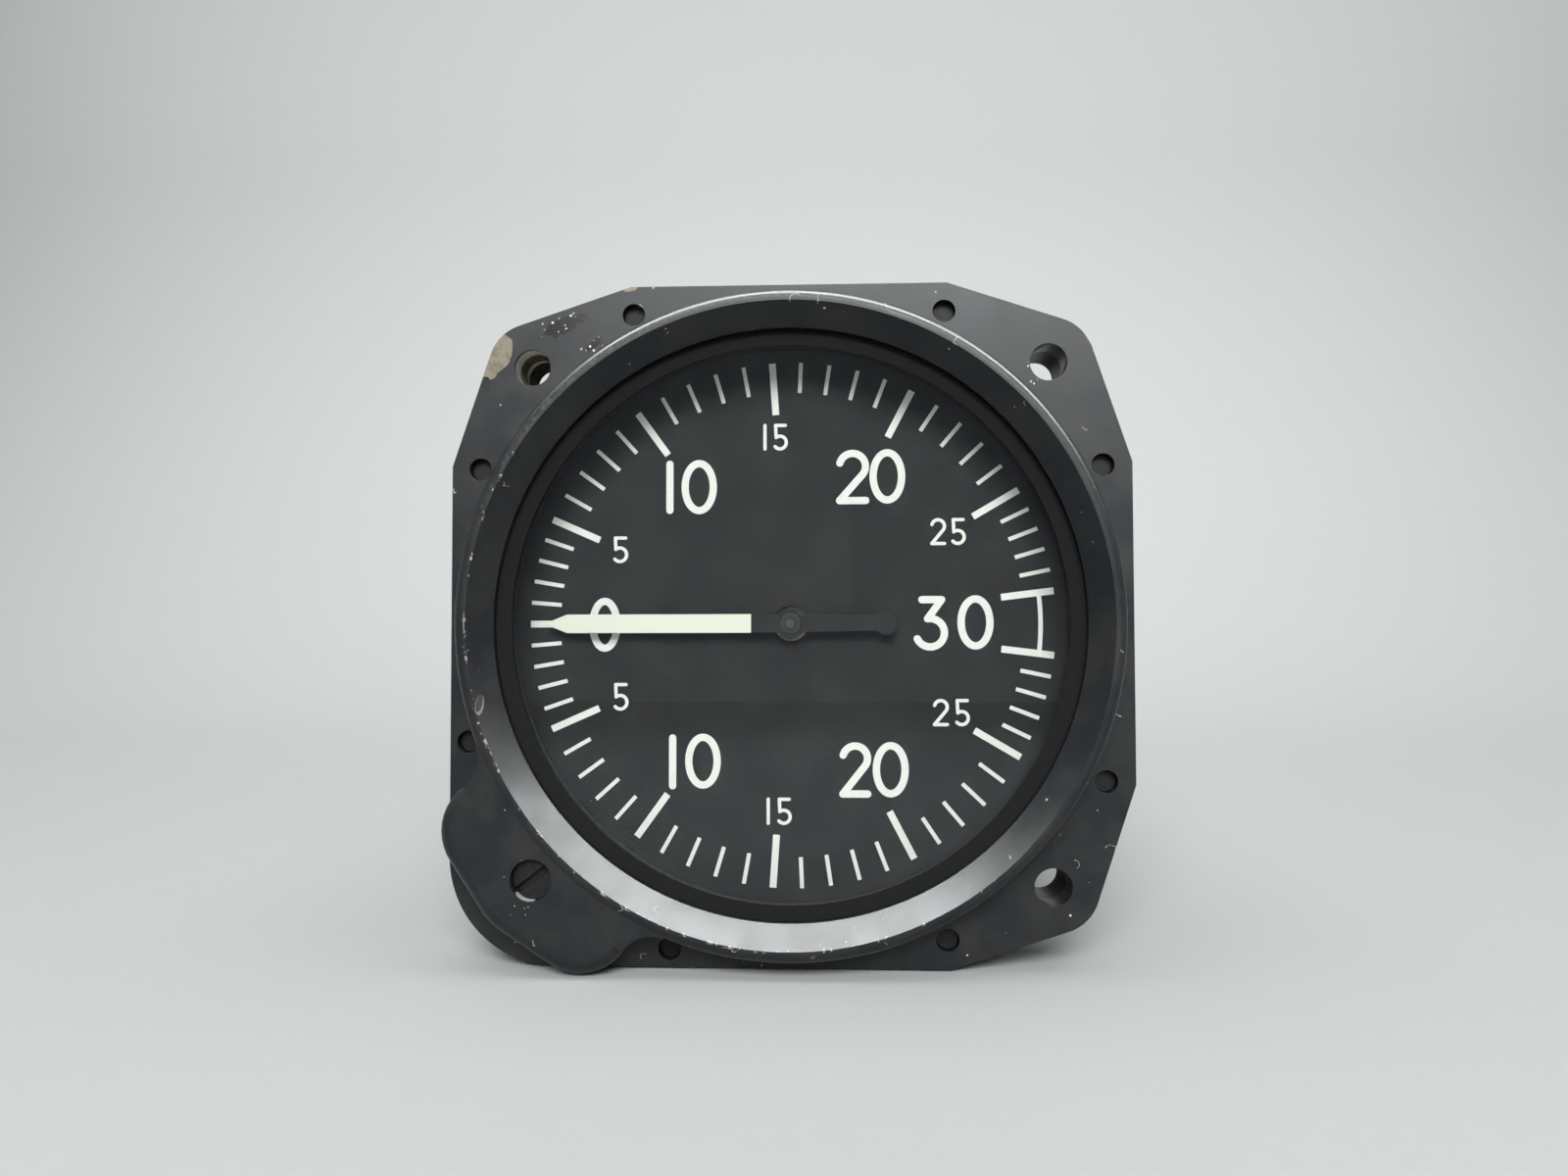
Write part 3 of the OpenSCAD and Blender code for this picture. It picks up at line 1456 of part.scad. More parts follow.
bezel_frame();
mounting_insert();
bezel_screws();
bezel_gasket();
case_barrel();
lens();
lens_seal();
dial_spacer();
dial();
rear_cover();
rear_gasket();
rear_screws();
static_fitting();
fitting_seal();
zero_screw();
zero_o_ring();
zero_sector();
zero_pivot();
front_plate();
plate_screws();
rear_plate();
pillars();
pillar_screws();
staff_jewels();
shaft_jewels();
pointer();
pointer_hub();
pinion_staff();
spring_collet();
hairspring();
hairspring_stud();
sector_gear();
rocking_shaft();
balance_arm();
capsule_bracket();
bracket_screws();
capsule();
capsule_nut();
capsule_stud();
dashpot_cylinders();
dashpot_caps();
dashpot_nuts();
dashpot_piston_left();
dashpot_piston_right();
dashpot_spring_left();
dashpot_spring_right();
dashpot_tubes();
restrictor_block();
restrictor_jet();
bimetal_strip();
bimetal_screw();
static_tube();
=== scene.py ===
import json
from math import cos, radians, sin

import bmesh
import bpy
import numpy as np
from mathutils import Matrix, Vector

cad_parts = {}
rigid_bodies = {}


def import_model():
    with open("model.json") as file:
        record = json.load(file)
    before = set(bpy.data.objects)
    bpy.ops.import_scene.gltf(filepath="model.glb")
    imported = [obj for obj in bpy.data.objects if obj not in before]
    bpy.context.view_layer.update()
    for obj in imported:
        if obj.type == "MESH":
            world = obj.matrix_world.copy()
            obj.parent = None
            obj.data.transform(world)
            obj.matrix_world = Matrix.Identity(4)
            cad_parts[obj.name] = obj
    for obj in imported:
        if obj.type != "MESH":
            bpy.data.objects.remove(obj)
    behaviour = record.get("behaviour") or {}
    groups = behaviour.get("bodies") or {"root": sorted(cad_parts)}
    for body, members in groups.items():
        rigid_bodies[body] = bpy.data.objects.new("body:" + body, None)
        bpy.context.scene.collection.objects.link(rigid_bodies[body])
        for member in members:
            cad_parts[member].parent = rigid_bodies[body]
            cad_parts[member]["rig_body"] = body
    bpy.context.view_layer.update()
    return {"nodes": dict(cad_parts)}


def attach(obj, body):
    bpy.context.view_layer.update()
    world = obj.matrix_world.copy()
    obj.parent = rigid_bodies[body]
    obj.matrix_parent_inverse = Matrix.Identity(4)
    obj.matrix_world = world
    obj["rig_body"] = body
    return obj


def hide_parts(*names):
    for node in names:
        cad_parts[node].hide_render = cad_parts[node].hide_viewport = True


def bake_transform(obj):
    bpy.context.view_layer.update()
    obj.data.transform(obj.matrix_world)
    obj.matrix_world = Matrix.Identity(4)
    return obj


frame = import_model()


# Case
# The case is one aluminium casting: square front flange, barrel, dial shoulder and movement lugs.
# Outside it has the instrument's satin black baking enamel, and inside it is the same paint.

MM = 0.001
# The body that each CAD node rides on
body_of = {name: piece["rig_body"] for name, piece in frame["nodes"].items()}


def feed(tree, socket, value):
    """Links an output to the socket, or sets the socket's own value."""
    if isinstance(value, bpy.types.NodeSocket):
        tree.links.new(value, socket)
    else:
        socket.default_value = value


def add(tree, kind, inputs=(), **settings):
    """One node, with its settings, and its inputs as {socket name or number: value or output}."""
    made = tree.nodes.new(kind)
    for name, value in settings.items():
        setattr(made, name, value)
    for socket, value in dict(inputs).items():
        feed(tree, made.inputs[socket], value)
    return made


def calc(tree, operation, *values):
    """The output of a Math node."""
    return add(tree, "ShaderNodeMath", enumerate(values), operation=operation).outputs[0]


def vector(tree, operation, *values):
    """The output of a Vector Math node: a number for a length or a dot product."""
    made = add(tree, "ShaderNodeVectorMath", enumerate(values), operation=operation)
    return made.outputs[1 if operation in ("LENGTH", "DOT_PRODUCT") else 0]


def ramp(tree, value, low, high, to_low=0.0, to_high=1.0):
    """A smooth step from to_low at low up to to_high at high."""
    inputs = {0: value, 1: low, 2: high, 3: to_low, 4: to_high}
    return add(tree, "ShaderNodeMapRange", inputs, interpolation_type="SMOOTHSTEP").outputs[0]


def tint(tree, mask, under, over):
    """The colour over where mask is 1, and under where it is 0."""
    colours = {6: under, 7: over}
    for socket, value in colours.items():
        if isinstance(value, tuple):
            colours[socket] = (*value, 1)
    return add(tree, "ShaderNodeMix", {0: mask, **colours}, data_type="RGBA").outputs[2]


def noise(tree, place, per_mm, detail=3.0, rough=0.5):
    """Noise from 0 to 1 around 0.5, with per_mm lumps to the millimetre."""
    inputs = {"Vector": place, "Scale": per_mm, "Detail": detail, "Roughness": rough}
    return add(tree, "ShaderNodeTexNoise", inputs).outputs[0]


def new_group(name, inputs, outputs):
    """An empty node group: inputs are (name, socket kind, value) and outputs (name, socket kind)."""
    tree = bpy.data.node_groups.new(name, "ShaderNodeTree")
    for label, kind, value in inputs:
        socket = tree.interface.new_socket(label, in_out="INPUT", socket_type="NodeSocket" + kind)
        if value is not None:
            socket.default_value = value
    for label, kind in outputs:
        tree.interface.new_socket(label, in_out="OUTPUT", socket_type="NodeSocket" + kind)
    ins = tree.nodes.new("NodeGroupInput").outputs
    outs = tree.nodes.new("NodeGroupOutput").inputs
    return tree, ins, outs


def use(tree, group, **inputs):
    """The outputs of a node group placed in a material."""
    named = {name.replace("_", " "): value for name, value in inputs.items()}
    made = tree.nodes.new("ShaderNodeGroup")
    made.node_tree = group
    for name, value in named.items():
        feed(tree, made.inputs[name], value)
    return made.outputs


def new_finish(name):
    """A material with a bare Principled shader: its tree, the shader and Object coordinates in mm."""
    finish = bpy.data.materials.new(name)
    finish.use_nodes = True
    tree = finish.node_tree
    shader = next(n for n in tree.nodes if n.type == "BSDF_PRINCIPLED")
    object_place = add(tree, "ShaderNodeTexCoord").outputs["Object"]
    scale = (1 / MM, 1 / MM, 1 / MM)
    place = add(tree, "ShaderNodeMapping", {"Vector": object_place, "Scale": scale}).outputs[0]
    return finish, tree, shader, place


# Paint grain: the fine orange peel of sprayed enamel over a casting, with a slow mottle.
MOTTLE_PER_MM = 0.16
paint_grain, g_in, g_out = new_group(
    "paint_grain",
    [("Place", "Vector", None), ("Per mm", "Float", 4.0)],
    [("Height", "Float"), ("Mottle", "Float")],
)
feed(paint_grain, g_out["Height"], noise(paint_grain, g_in["Place"], g_in["Per mm"], 4.0, 0.6))
feed(paint_grain, g_out["Mottle"], noise(paint_grain, g_in["Place"], MOTTLE_PER_MM, 5.0, 0.6))

# Edge wear: where a rounded normal leaves the surface's own, broken up by noise. It shows from a
# bend of BEND_SEEN, is whole at BEND_FULL, and Cover is the share of the edge that it takes.
BEND_SEEN, BEND_FULL, BROKEN_PER_MM, BROKEN_EDGE = 0.02, 0.12, 0.7, 0.06
edge_wear, g_in, g_out = new_group(
    "edge_wear",
    [("Place", "Vector", None), ("Reach", "Float", 0.0004), ("Cover", "Float", 0.5)],
    [("Mask", "Float")],
)
rounded = add(edge_wear, "ShaderNodeBevel", {"Radius": g_in["Reach"]}, samples=4).outputs[0]
own = add(edge_wear, "ShaderNodeNewGeometry").outputs["True Normal"]
bend = calc(edge_wear, "SUBTRACT", 1.0, vector(edge_wear, "DOT_PRODUCT", rounded, own))
broken = noise(edge_wear, g_in["Place"], BROKEN_PER_MM, 6.0, 0.65)
needed = calc(edge_wear, "SUBTRACT", 1.0, g_in["Cover"])
chips = ramp(edge_wear, broken, needed, calc(edge_wear, "ADD", needed, BROKEN_EDGE))
bent = ramp(edge_wear, bend, BEND_SEEN, BEND_FULL)
feed(edge_wear, g_out["Mask"], calc(edge_wear, "MULTIPLY", bent, chips))

# A worn patch: an oval round Centre with a ragged border, in millimetres. Its mask is 1 inside
# PATCH_WHOLE of the oval's reach, and 0 outside it.
PATCH_WHOLE = 0.93
worn_patch, g_in, g_out = new_group(
    "worn_patch",
    [("Place", "Vector", None), ("Centre", "Vector", None), ("Size", "Vector", None),
     ("Turn", "Float", 0.0), ("Ragged", "Float", 0.5), ("Per mm", "Float", 0.8)],
    [("Mask", "Float")],
)
off = {"Vector": vector(worn_patch, "SUBTRACT", g_in["Place"], g_in["Centre"]), "Angle": g_in["Turn"]}
turned = add(worn_patch, "ShaderNodeVectorRotate", off, rotation_type="Y_AXIS").outputs[0]
reach = vector(worn_patch, "LENGTH", vector(worn_patch, "DIVIDE", turned, g_in["Size"]))
stray = calc(worn_patch, "SUBTRACT", noise(worn_patch, g_in["Place"], g_in["Per mm"], 5.0, 0.6), 0.5)
reach = calc(worn_patch, "ADD", reach, calc(worn_patch, "MULTIPLY", stray, g_in["Ragged"]))
feed(worn_patch, g_out["Mask"], ramp(worn_patch, reach, 1.0, PATCH_WHOLE))

# Dust: sparse pale specks with ragged edges. Share is how many of the cells hold one. Most specks
# are of the least radius, in mm, and a few are larger. None is fainter than FAINTEST.
SPECK_LEAST, SPECK_LARGER, SPECK_RAGGED, RAGGED_PER_MM, FAINTEST = 0.060, 0.10, 0.09, 7.0, 0.4
dust, g_in, g_out = new_group(
    "dust",
    [("Place", "Vector", None), ("Share", "Float", 0.1), ("Per mm", "Float", 0.8)],
    [("Mask", "Float")],
)
cell = add(dust, "ShaderNodeTexVoronoi", {"Vector": g_in["Place"], "Scale": g_in["Per mm"]})
chance = add(dust, "ShaderNodeSeparateColor", {0: cell.outputs["Color"]}).outputs
there = calc(dust, "LESS_THAN", chance[0], g_in["Share"])
speck = calc(dust, "MULTIPLY_ADD", calc(dust, "POWER", chance[1], 5.0), SPECK_LARGER, SPECK_LEAST)
uneven = calc(dust, "SUBTRACT", noise(dust, g_in["Place"], RAGGED_PER_MM), 0.5)
ragged = calc(dust, "MULTIPLY", uneven, SPECK_RAGGED)
from_middle = calc(dust, "DIVIDE", cell.outputs["Distance"], g_in["Per mm"])
near = calc(dust, "LESS_THAN", calc(dust, "ADD", from_middle, ragged), speck)
seen = calc(dust, "MULTIPLY_ADD", chance[2], 1 - FAINTEST, FAINTEST)
feed(dust, g_out["Mask"], calc(dust, "MULTIPLY", calc(dust, "MULTIPLY", there, near), seen))


def scatter(tree, colour, spread):
    """A random colour made a vector in the plane of x and z, up to half of spread to each side."""
    from_grey = vector(tree, "SUBTRACT", colour, (0.5, 0.5, 0.5))
    return vector(tree, "MULTIPLY", from_grey, (spread, 0.0, spread))


# Lint: short curled hairs, each a part of a circle inside its own cell, seen along y. The circle's
# radius is from 0.2 to 0.65 mm, and the hair is the part of it on one side of a random direction.
CURL_LEAST, CURL_LARGER, HAIR_HALF, HAIR_WAVER, WAVER_PER_MM = 0.2, 0.45, 0.05, 0.9, 1.4
lint, g_in, g_out = new_group(
    "lint",
    [("Place", "Vector", None), ("Share", "Float", 0.3), ("Per mm", "Float", 0.3)],
    [("Mask", "Float")],
)
cell = add(lint, "ShaderNodeTexVoronoi", {"Vector": g_in["Place"], "Scale": g_in["Per mm"]})
chance = add(lint, "ShaderNodeSeparateColor", {0: cell.outputs["Color"]}).outputs
waver = add(lint, "ShaderNodeTexNoise", {"Vector": g_in["Place"], "Scale": WAVER_PER_MM, "Detail": 1.0})
off = vector(lint, "SUBTRACT", g_in["Place"], cell.outputs["Position"])
flat = vector(lint, "MULTIPLY", off, (1.0, 0.0, 1.0))
flat = vector(lint, "ADD", flat, scatter(lint, waver.outputs["Color"], HAIR_WAVER))
curl = calc(lint, "MULTIPLY_ADD", chance[2], CURL_LARGER, CURL_LEAST)
off_hair = calc(lint, "ABSOLUTE", calc(lint, "SUBTRACT", vector(lint, "LENGTH", flat), curl))
facing = scatter(lint, cell.outputs["Color"], 1.0)
side = vector(lint, "DOT_PRODUCT", vector(lint, "NORMALIZE", flat), vector(lint, "NORMALIZE", facing))
on_hair = ramp(lint, off_hair, HAIR_HALF, 0.4 * HAIR_HALF)
hair = calc(lint, "MULTIPLY", on_hair, calc(lint, "GREATER_THAN", side, 0.1))
feed(lint, g_out["Mask"], calc(lint, "MULTIPLY", hair, calc(lint, "LESS_THAN", chance[1], g_in["Share"])))

# Colours of the enamel, of the alloy where it is bare, and of what lies on it
ENAMEL = (0.0082, 0.0095, 0.0122)
ENAMEL_FADED = (0.0170, 0.0166, 0.0164)
BARE_ALLOY = (0.165, 0.143, 0.108)
TARNISHED = (0.115, 0.093, 0.066)
DUST = (0.78, 0.755, 0.69)
OLD_OIL = (0.0105, 0.0060, 0.0046)
RUBBED = (0.07, 0.069, 0.065)
CHIPPED = (0.34, 0.33, 0.305)


def lean(tree, x, z, per_x, per_z):
    """A value that changes evenly over the front, by per_x and per_z to the millimetre."""
    return calc(tree, "ADD", calc(tree, "MULTIPLY", x, per_x), calc(tree, "MULTIPLY", z, per_z))


# Wear of the ring, in mm: rubbing fades out at RUB_HALF from the edge and between the depths
# RUB_DEPTHS, chips lie CHIP_IN inside the edge, and other wear starts between the two CLEAR outside.
RUB_HALF, RUB_DEPTHS, CHIP_IN, CHIP_HALF, CLEAR = 0.55, (-4.2, -4.8), 0.38, 0.22, (1.4, 2.6)
# Hands rub the ring most at its upper left, and knocks chip its lower left: how much more of each
# there is to the millimetre of x and of z, and the values from which it starts and is whole.
RUB_LEAN, RUB_FROM = (-0.0022, 0.0052), (0.64, 0.9)
KNOCK_LEAN, KNOCK_FROM = (-0.0022, -0.0018), (0.665, 0.70)


def ring_wear(tree, place, ridge):
    """Wear of a ring round y whose edge has the radius ridge: masks of the rubbed and of the
    chipped paint on the edge, and of all that lies outside the ring."""
    x, y, z = add(tree, "ShaderNodeSeparateXYZ", {0: place}).outputs
    radius = vector(tree, "LENGTH", add(tree, "ShaderNodeCombineXYZ", {0: x, 2: z}).outputs[0])
    off_ridge = calc(tree, "ABSOLUTE", calc(tree, "SUBTRACT", radius, ridge))
    band = calc(tree, "MULTIPLY", ramp(tree, off_ridge, RUB_HALF, 0.05), ramp(tree, y, *RUB_DEPTHS))
    rub = calc(tree, "ADD", noise(tree, place, 2.6, 6.0, 0.75), lean(tree, x, z, *RUB_LEAN))
    rubbed = calc(tree, "MULTIPLY", ramp(tree, rub, *RUB_FROM), band)
    knock = calc(tree, "ADD", noise(tree, place, 1.1, 4.0, 0.65), lean(tree, x, z, *KNOCK_LEAN))
    off_crest = calc(tree, "ABSOLUTE", calc(tree, "SUBTRACT", radius, ridge - CHIP_IN))
    crest = ramp(tree, off_crest, CHIP_HALF, 0.10)
    chipped = calc(tree, "MULTIPLY", ramp(tree, knock, *KNOCK_FROM), crest)
    outside = ramp(tree, radius, ridge + CLEAR[0], ridge + CLEAR[1])
    return rubbed, chipped, outside


# The enamel's gloss, its roughness where it is new and where it has faded, and what the grain adds
ENAMEL_GLOSS, ROUGH_NEW, ROUGH_FADED, ROUGH_GRAIN = 0.31, 0.28, 0.36, 0.08
# What bare alloy, dull places and oil add to the roughness, and how metallic bare alloy is
ROUGH_BARE, ROUGH_DULL, ROUGH_OILY, BARE_METALLIC = 0.12, 0.35, -0.14, 0.35
# To the millimetre: lumps of grain, cells of dust, of hairs and of grit, and lumps in the border of
# a patch of alloy and of another patch
GRAIN_PER_MM, DUST_PER_MM, HAIRS_PER_MM, GRIT_PER_MM = 3.2, 0.9, 0.26, 2.0
ALLOY_RAG_PER_MM, RAG_PER_MM = 0.8, 1.9
# How many of the cells hold a grain of grit, how ragged a patch of grit is, how far wear reaches
# from an edge in mm, and how bright a hair is beside a speck
GRIT_SHARE, GRIT_RAGGED, WEAR_REACH, HAIR_SHADE = 0.8, 0.9, 0.45, 0.45


def black_enamel(name, cover, satin=0.0, patches=(), grit=(), ridge=None, dust_share=0.05):
    """Satin black baking enamel over a casting. cover is how much of each edge is worn, satin is
    added to the roughness, a patch is (colour, centre, size, turn, ragged) in mm, grit lies in
    patches of (centre, size, turn), and ridge is the radius of a worn ring edge. A patch of the
    bare alloy takes the alloy's own two colours."""
    finish, tree, shader, place = new_finish(name)
    shader.inputs["Specular IOR Level"].default_value = ENAMEL_GLOSS
    grain = use(tree, paint_grain, Place=place, Per_mm=GRAIN_PER_MM)
    colour = tint(tree, ramp(tree, grain["Mottle"], 0.38, 0.72), ENAMEL, ENAMEL_FADED)
    rough = ramp(tree, grain["Mottle"], 0.34, 0.66, ROUGH_NEW, ROUGH_FADED)
    rough = calc(tree, "ADD", calc(tree, "MULTIPLY_ADD", grain["Height"], ROUGH_GRAIN, rough), satin)
    worn = use(tree, edge_wear, Place=place, Reach=WEAR_REACH * MM, Cover=cover)["Mask"]
    if ridge:
        rubbed, chipped, outside = ring_wear(tree, place, ridge)
        colour = tint(tree, rubbed, colour, RUBBED)
        colour = tint(tree, chipped, colour, CHIPPED)
        worn = calc(tree, "MULTIPLY", worn, outside)
    alloy = tint(tree, ramp(tree, noise(tree, place, 0.9, 5.0, 0.65), 0.42, 0.66), BARE_ALLOY, TARNISHED)
    colour = tint(tree, worn, colour, alloy)
    bare = worn
    specks = use(tree, dust, Place=place, Share=dust_share, Per_mm=DUST_PER_MM)["Mask"]
    dull, oily = specks, 0.0
    if ridge:
        hairs = use(tree, lint, Place=place, Share=dust_share * 0.9, Per_mm=HAIRS_PER_MM)["Mask"]
        specks = calc(tree, "MAXIMUM", specks, calc(tree, "MULTIPLY", hairs, HAIR_SHADE))
        dull = calc(tree, "MAXIMUM", specks, rubbed)
    for shade, centre, size, turn, ragged in patches:
        is_alloy = shade == BARE_ALLOY
        where = {"Place": place, "Centre": centre, "Size": size, "Turn": turn, "Ragged": ragged}
        mask = use(tree, worn_patch, Per_mm=ALLOY_RAG_PER_MM if is_alloy else RAG_PER_MM, **where)["Mask"]
        colour = tint(tree, mask, colour, alloy if is_alloy else shade)
        if is_alloy:
            bare = calc(tree, "MAXIMUM", bare, mask)
        elif shade == OLD_OIL:
            oily = calc(tree, "MAXIMUM", oily, mask)
        else:
            dull = calc(tree, "MAXIMUM", dull, mask)
    for centre, size, turn in grit:
        where = {"Place": place, "Centre": centre, "Size": size, "Turn": turn, "Ragged": GRIT_RAGGED}
        mask = use(tree, worn_patch, **where)["Mask"]
        grains = use(tree, dust, Place=place, Share=GRIT_SHARE, Per_mm=GRIT_PER_MM)["Mask"]
        specks = calc(tree, "MAXIMUM", specks, calc(tree, "MULTIPLY", mask, grains))
    feed(tree, shader.inputs["Base Color"], tint(tree, specks, colour, DUST))
    feed(tree, shader.inputs["Metallic"], calc(tree, "MULTIPLY", bare, BARE_METALLIC))
    for mask, rougher in ((dull, ROUGH_DULL), (bare, ROUGH_BARE), (oily, ROUGH_OILY)):
        rough = calc(tree, "MULTIPLY_ADD", mask, rougher, rough)
    feed(tree, shader.inputs["Roughness"], rough)
    height = calc(tree, "SUBTRACT", grain["Height"], calc(tree, "MULTIPLY", bare, 0.8))
    bump = add(tree, "ShaderNodeBump", {"Strength": 0.5, "Distance": 0.012 * MM, "Height": height})
    feed(tree, shader.inputs["Normal"], bump.outputs[0])
    return finish


# Angles in degrees between two faces: under FLAT they become one face, over SHARP their edge is
# drawn sharp, and over ROUNDED it gets its fillet. Corners within MERGED metres become one.
FLAT, SHARP, ROUNDED, MERGED = 0.4, 32, 35, 1e-6


def smooth_by_angle(mesh):
    """Smooth shading, with a sharp edge wherever two faces meet at more than SHARP degrees."""
    mesh.shade_smooth()
    mesh.set_sharp_from_angle(angle=radians(SHARP))


def finish_node(name, finish, rounding=0.0, follows=None):
    """A copy of a CAD node, its loose triangles merged and its edges rounded by rounding mm, which stands
    for the node and rides on its body. With follows, it is left where it stands and rides on no body."""
    mesh = frame["nodes"][name].data.copy()
    mesh.materials.clear()
    mesh.materials.append(finish)
    shape = bmesh.new()
    shape.from_mesh(mesh)
    bmesh.ops.remove_doubles(shape, verts=shape.verts, dist=MERGED)
    bmesh.ops.dissolve_limit(
        shape, angle_limit=radians(FLAT), verts=shape.verts, edges=shape.edges, delimit={"MATERIAL"}
    )
    shape.to_mesh(mesh)
    shape.free()
    smooth_by_angle(mesh)
    piece = bpy.data.objects.new(name + "_finished", mesh)
    bpy.context.scene.collection.objects.link(piece)
    if rounding:
        edge = piece.modifiers.new("rounding", "BEVEL")
        edge.width = rounding * MM
        edge.segments = 2
        edge.limit_method = "ANGLE"
        edge.angle_limit = radians(ROUNDED)
    # Flat faces keep flat normals beside a fillet.
    piece.modifiers.new("flat_normals", "WEIGHTED_NORMAL").keep_sharp = True
    if follows:
        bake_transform(piece)
    else:
        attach(piece, body_of[name])
    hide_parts(name)
    return piece


case_enamel = black_enamel("case_enamel", cover=0.42, satin=0.13)
finish_node("case_barrel", case_enamel, 0.2)


# Bezel casting
# The front flange, the raised ring with its conical bevel and the adjuster's lobe are one casting.
# Its enamel is rubbed off the upper left corner, chipped along the edges and dusty all over.

# Worn places seen on the front, in mm: colour, centre (x, y, z), half sizes, turn round y, and how
# ragged the border is. Then the patches of grit: centre, half sizes and turn.
SOOT = (0.004, 0.004, 0.005)
WORN_RIM = (0.50, 0.49, 0.45)
SCRAPED = (0.20, 0.19, 0.165)
worn_places = [
    (OLD_OIL, (-27.4, 0, 36.7), (2.9, 2.0, 0.95), radians(20), 2.2),
    (OLD_OIL, (-28.9, 0, 35.7), (0.9, 2.0, 0.5), radians(-20), 2.0),
    (OLD_OIL, (-23.8, 0, 34.3), (1.2, 2.0, 0.5), radians(35), 2.2),
    (BARE_ALLOY, (-36.2, 0, 33.25), (2.9, 3.0, 2.15), radians(58), 0.45),
    (BARE_ALLOY, (-36.9, 0, 30.9), (0.9, 3.0, 1.0), radians(58), 0.5),
    (SOOT, (-37.2, 0, 29.5), (0.6, 2.0, 1.0), 0.0, 0.8),
    (BARE_ALLOY, (-19.3, 0, 41.1), (0.9, 1.2, 0.35), radians(12), 0.7),
    (BARE_ALLOY, (36.9, 0, 33.6), (3.4, 2.0, 0.42), radians(-57), 0.9),
    (WORN_RIM, (-31.0, -3.95, -32.4), (1.9, 0.88, 0.5), radians(-22), 0.25),
    (SCRAPED, (-36.2, -5.0, -9.25), (0.52, 1.0, 1.6), radians(-8), 0.35),
    (ENAMEL_FADED, (-36.3, -5.0, -9.15), (0.36, 1.0, 1.35), radians(-8), 0.3),
    (SCRAPED, (-38.15, -5.0, 0.0), (0.07, 1.0, 1.4), 0.0, 0.3),
]
grit_places = [
    ((-28.2, 0, 36.9), (3.2, 1.0, 1.1), radians(20)), ((-23.6, 0, 34.5), (2.4, 1.0, 1.0), radians(35)),
    ((-28.7, 0, 32.8), (0.9, 1.0, 0.6), 0.0), ((29.6, 0, 29.2), (1.0, 1.0, 0.7), radians(40)),
    ((-31.6, -4.9, -33.4), (1.6, 1.0, 0.8), 0.0),
]
# Radius in mm of the ring's front edge, which hands rub
RING_RIDGE = 38.5
bezel_enamel = black_enamel(
    "bezel_enamel", cover=0.36, patches=worn_places, grit=grit_places, ridge=RING_RIDGE, dust_share=0.16
)
finish_node("bezel_frame", bezel_enamel, 0.34)


# Gaskets and seals
# Cork and rubber sheet is cut to the flange and the cover, and clamped under their screws.
# Black rubber rings seal the glass, the adjuster and the pressure fitting.


def plain_finish(
    name, colour, other, per_mm, rough, metallic=0.0, bump=0.3, depth=0.01, stretch=(1, 1, 1), specular=0.5
):
    """A finish of one material: two close colours mixed by noise, stretched along the tool's marks.
    The same noise varies the roughness around rough, and stands up by depth mm."""
    finish, tree, shader, place = new_finish(name)
    drawn = add(tree, "ShaderNodeMapping", {"Vector": place, "Scale": stretch}).outputs[0]
    marks = noise(tree, drawn, per_mm, 5.0, 0.6)
    feed(tree, shader.inputs["Base Color"], tint(tree, ramp(tree, marks, 0.3, 0.7), colour, other))
    feed(tree, shader.inputs["Roughness"], ramp(tree, marks, 0.25, 0.75, rough - 0.06, rough + 0.08))
    shader.inputs["Metallic"].default_value = metallic
    shader.inputs["Specular IOR Level"].default_value = specular
    height = add(tree, "ShaderNodeBump", {"Strength": bump, "Distance": depth * MM, "Height": marks})
    feed(tree, shader.inputs["Normal"], height.outputs[0])
    return finish


gasket_sheet = plain_finish(
    "cork_and_rubber", (0.10, 0.075, 0.055), (0.045, 0.038, 0.033), 1.6, 0.82, bump=0.6, depth=0.05
)
black_rubber = plain_finish(
    "black_rubber", (0.022, 0.022, 0.023), (0.035, 0.035, 0.036), 2.2, 0.6, bump=0.25
)
finish_node("bezel_gasket", gasket_sheet)
finish_node("lens_seal", black_rubber, 0.1)
finish_node("zero_o_ring", black_rubber)
finish_node("fitting_seal", black_rubber)


# Mounting insert and bezel screws
# A tapped steel sleeve is pressed into the upper left mounting hole, and the others are plain.
# Eight small blackened screws hold the bezel on, with their heads sunk in round recesses.

insert_steel = plain_finish("plated_insert", (0.78, 0.75, 0.67), (0.56, 0.53, 0.46), 1.2, 0.3, 0.3)
# The black oxide is darkened further as painted shade. The shade that falls in the recesses round the
# screws' and the adjuster's heads is painted into its colour.
black_oxide_with_painted_shade = plain_finish(
    "blackened_steel_with_painted_shade", (0.006, 0.006, 0.0068), (0.012, 0.012, 0.0132), 2.5, 0.5, specular=0.22
)
finish_node("mounting_insert", insert_steel, 0.1)
finish_node("bezel_screws", black_oxide_with_painted_shade, 0.06)


def box_of(name):
    """The lowest and the highest corner of a CAD node, in mm and to a thousandth."""
    corners = np.array([corner.co for corner in frame["nodes"][name].data.vertices]) / MM
    return corners.min(axis=0).round(3), corners.max(axis=0).round(3)


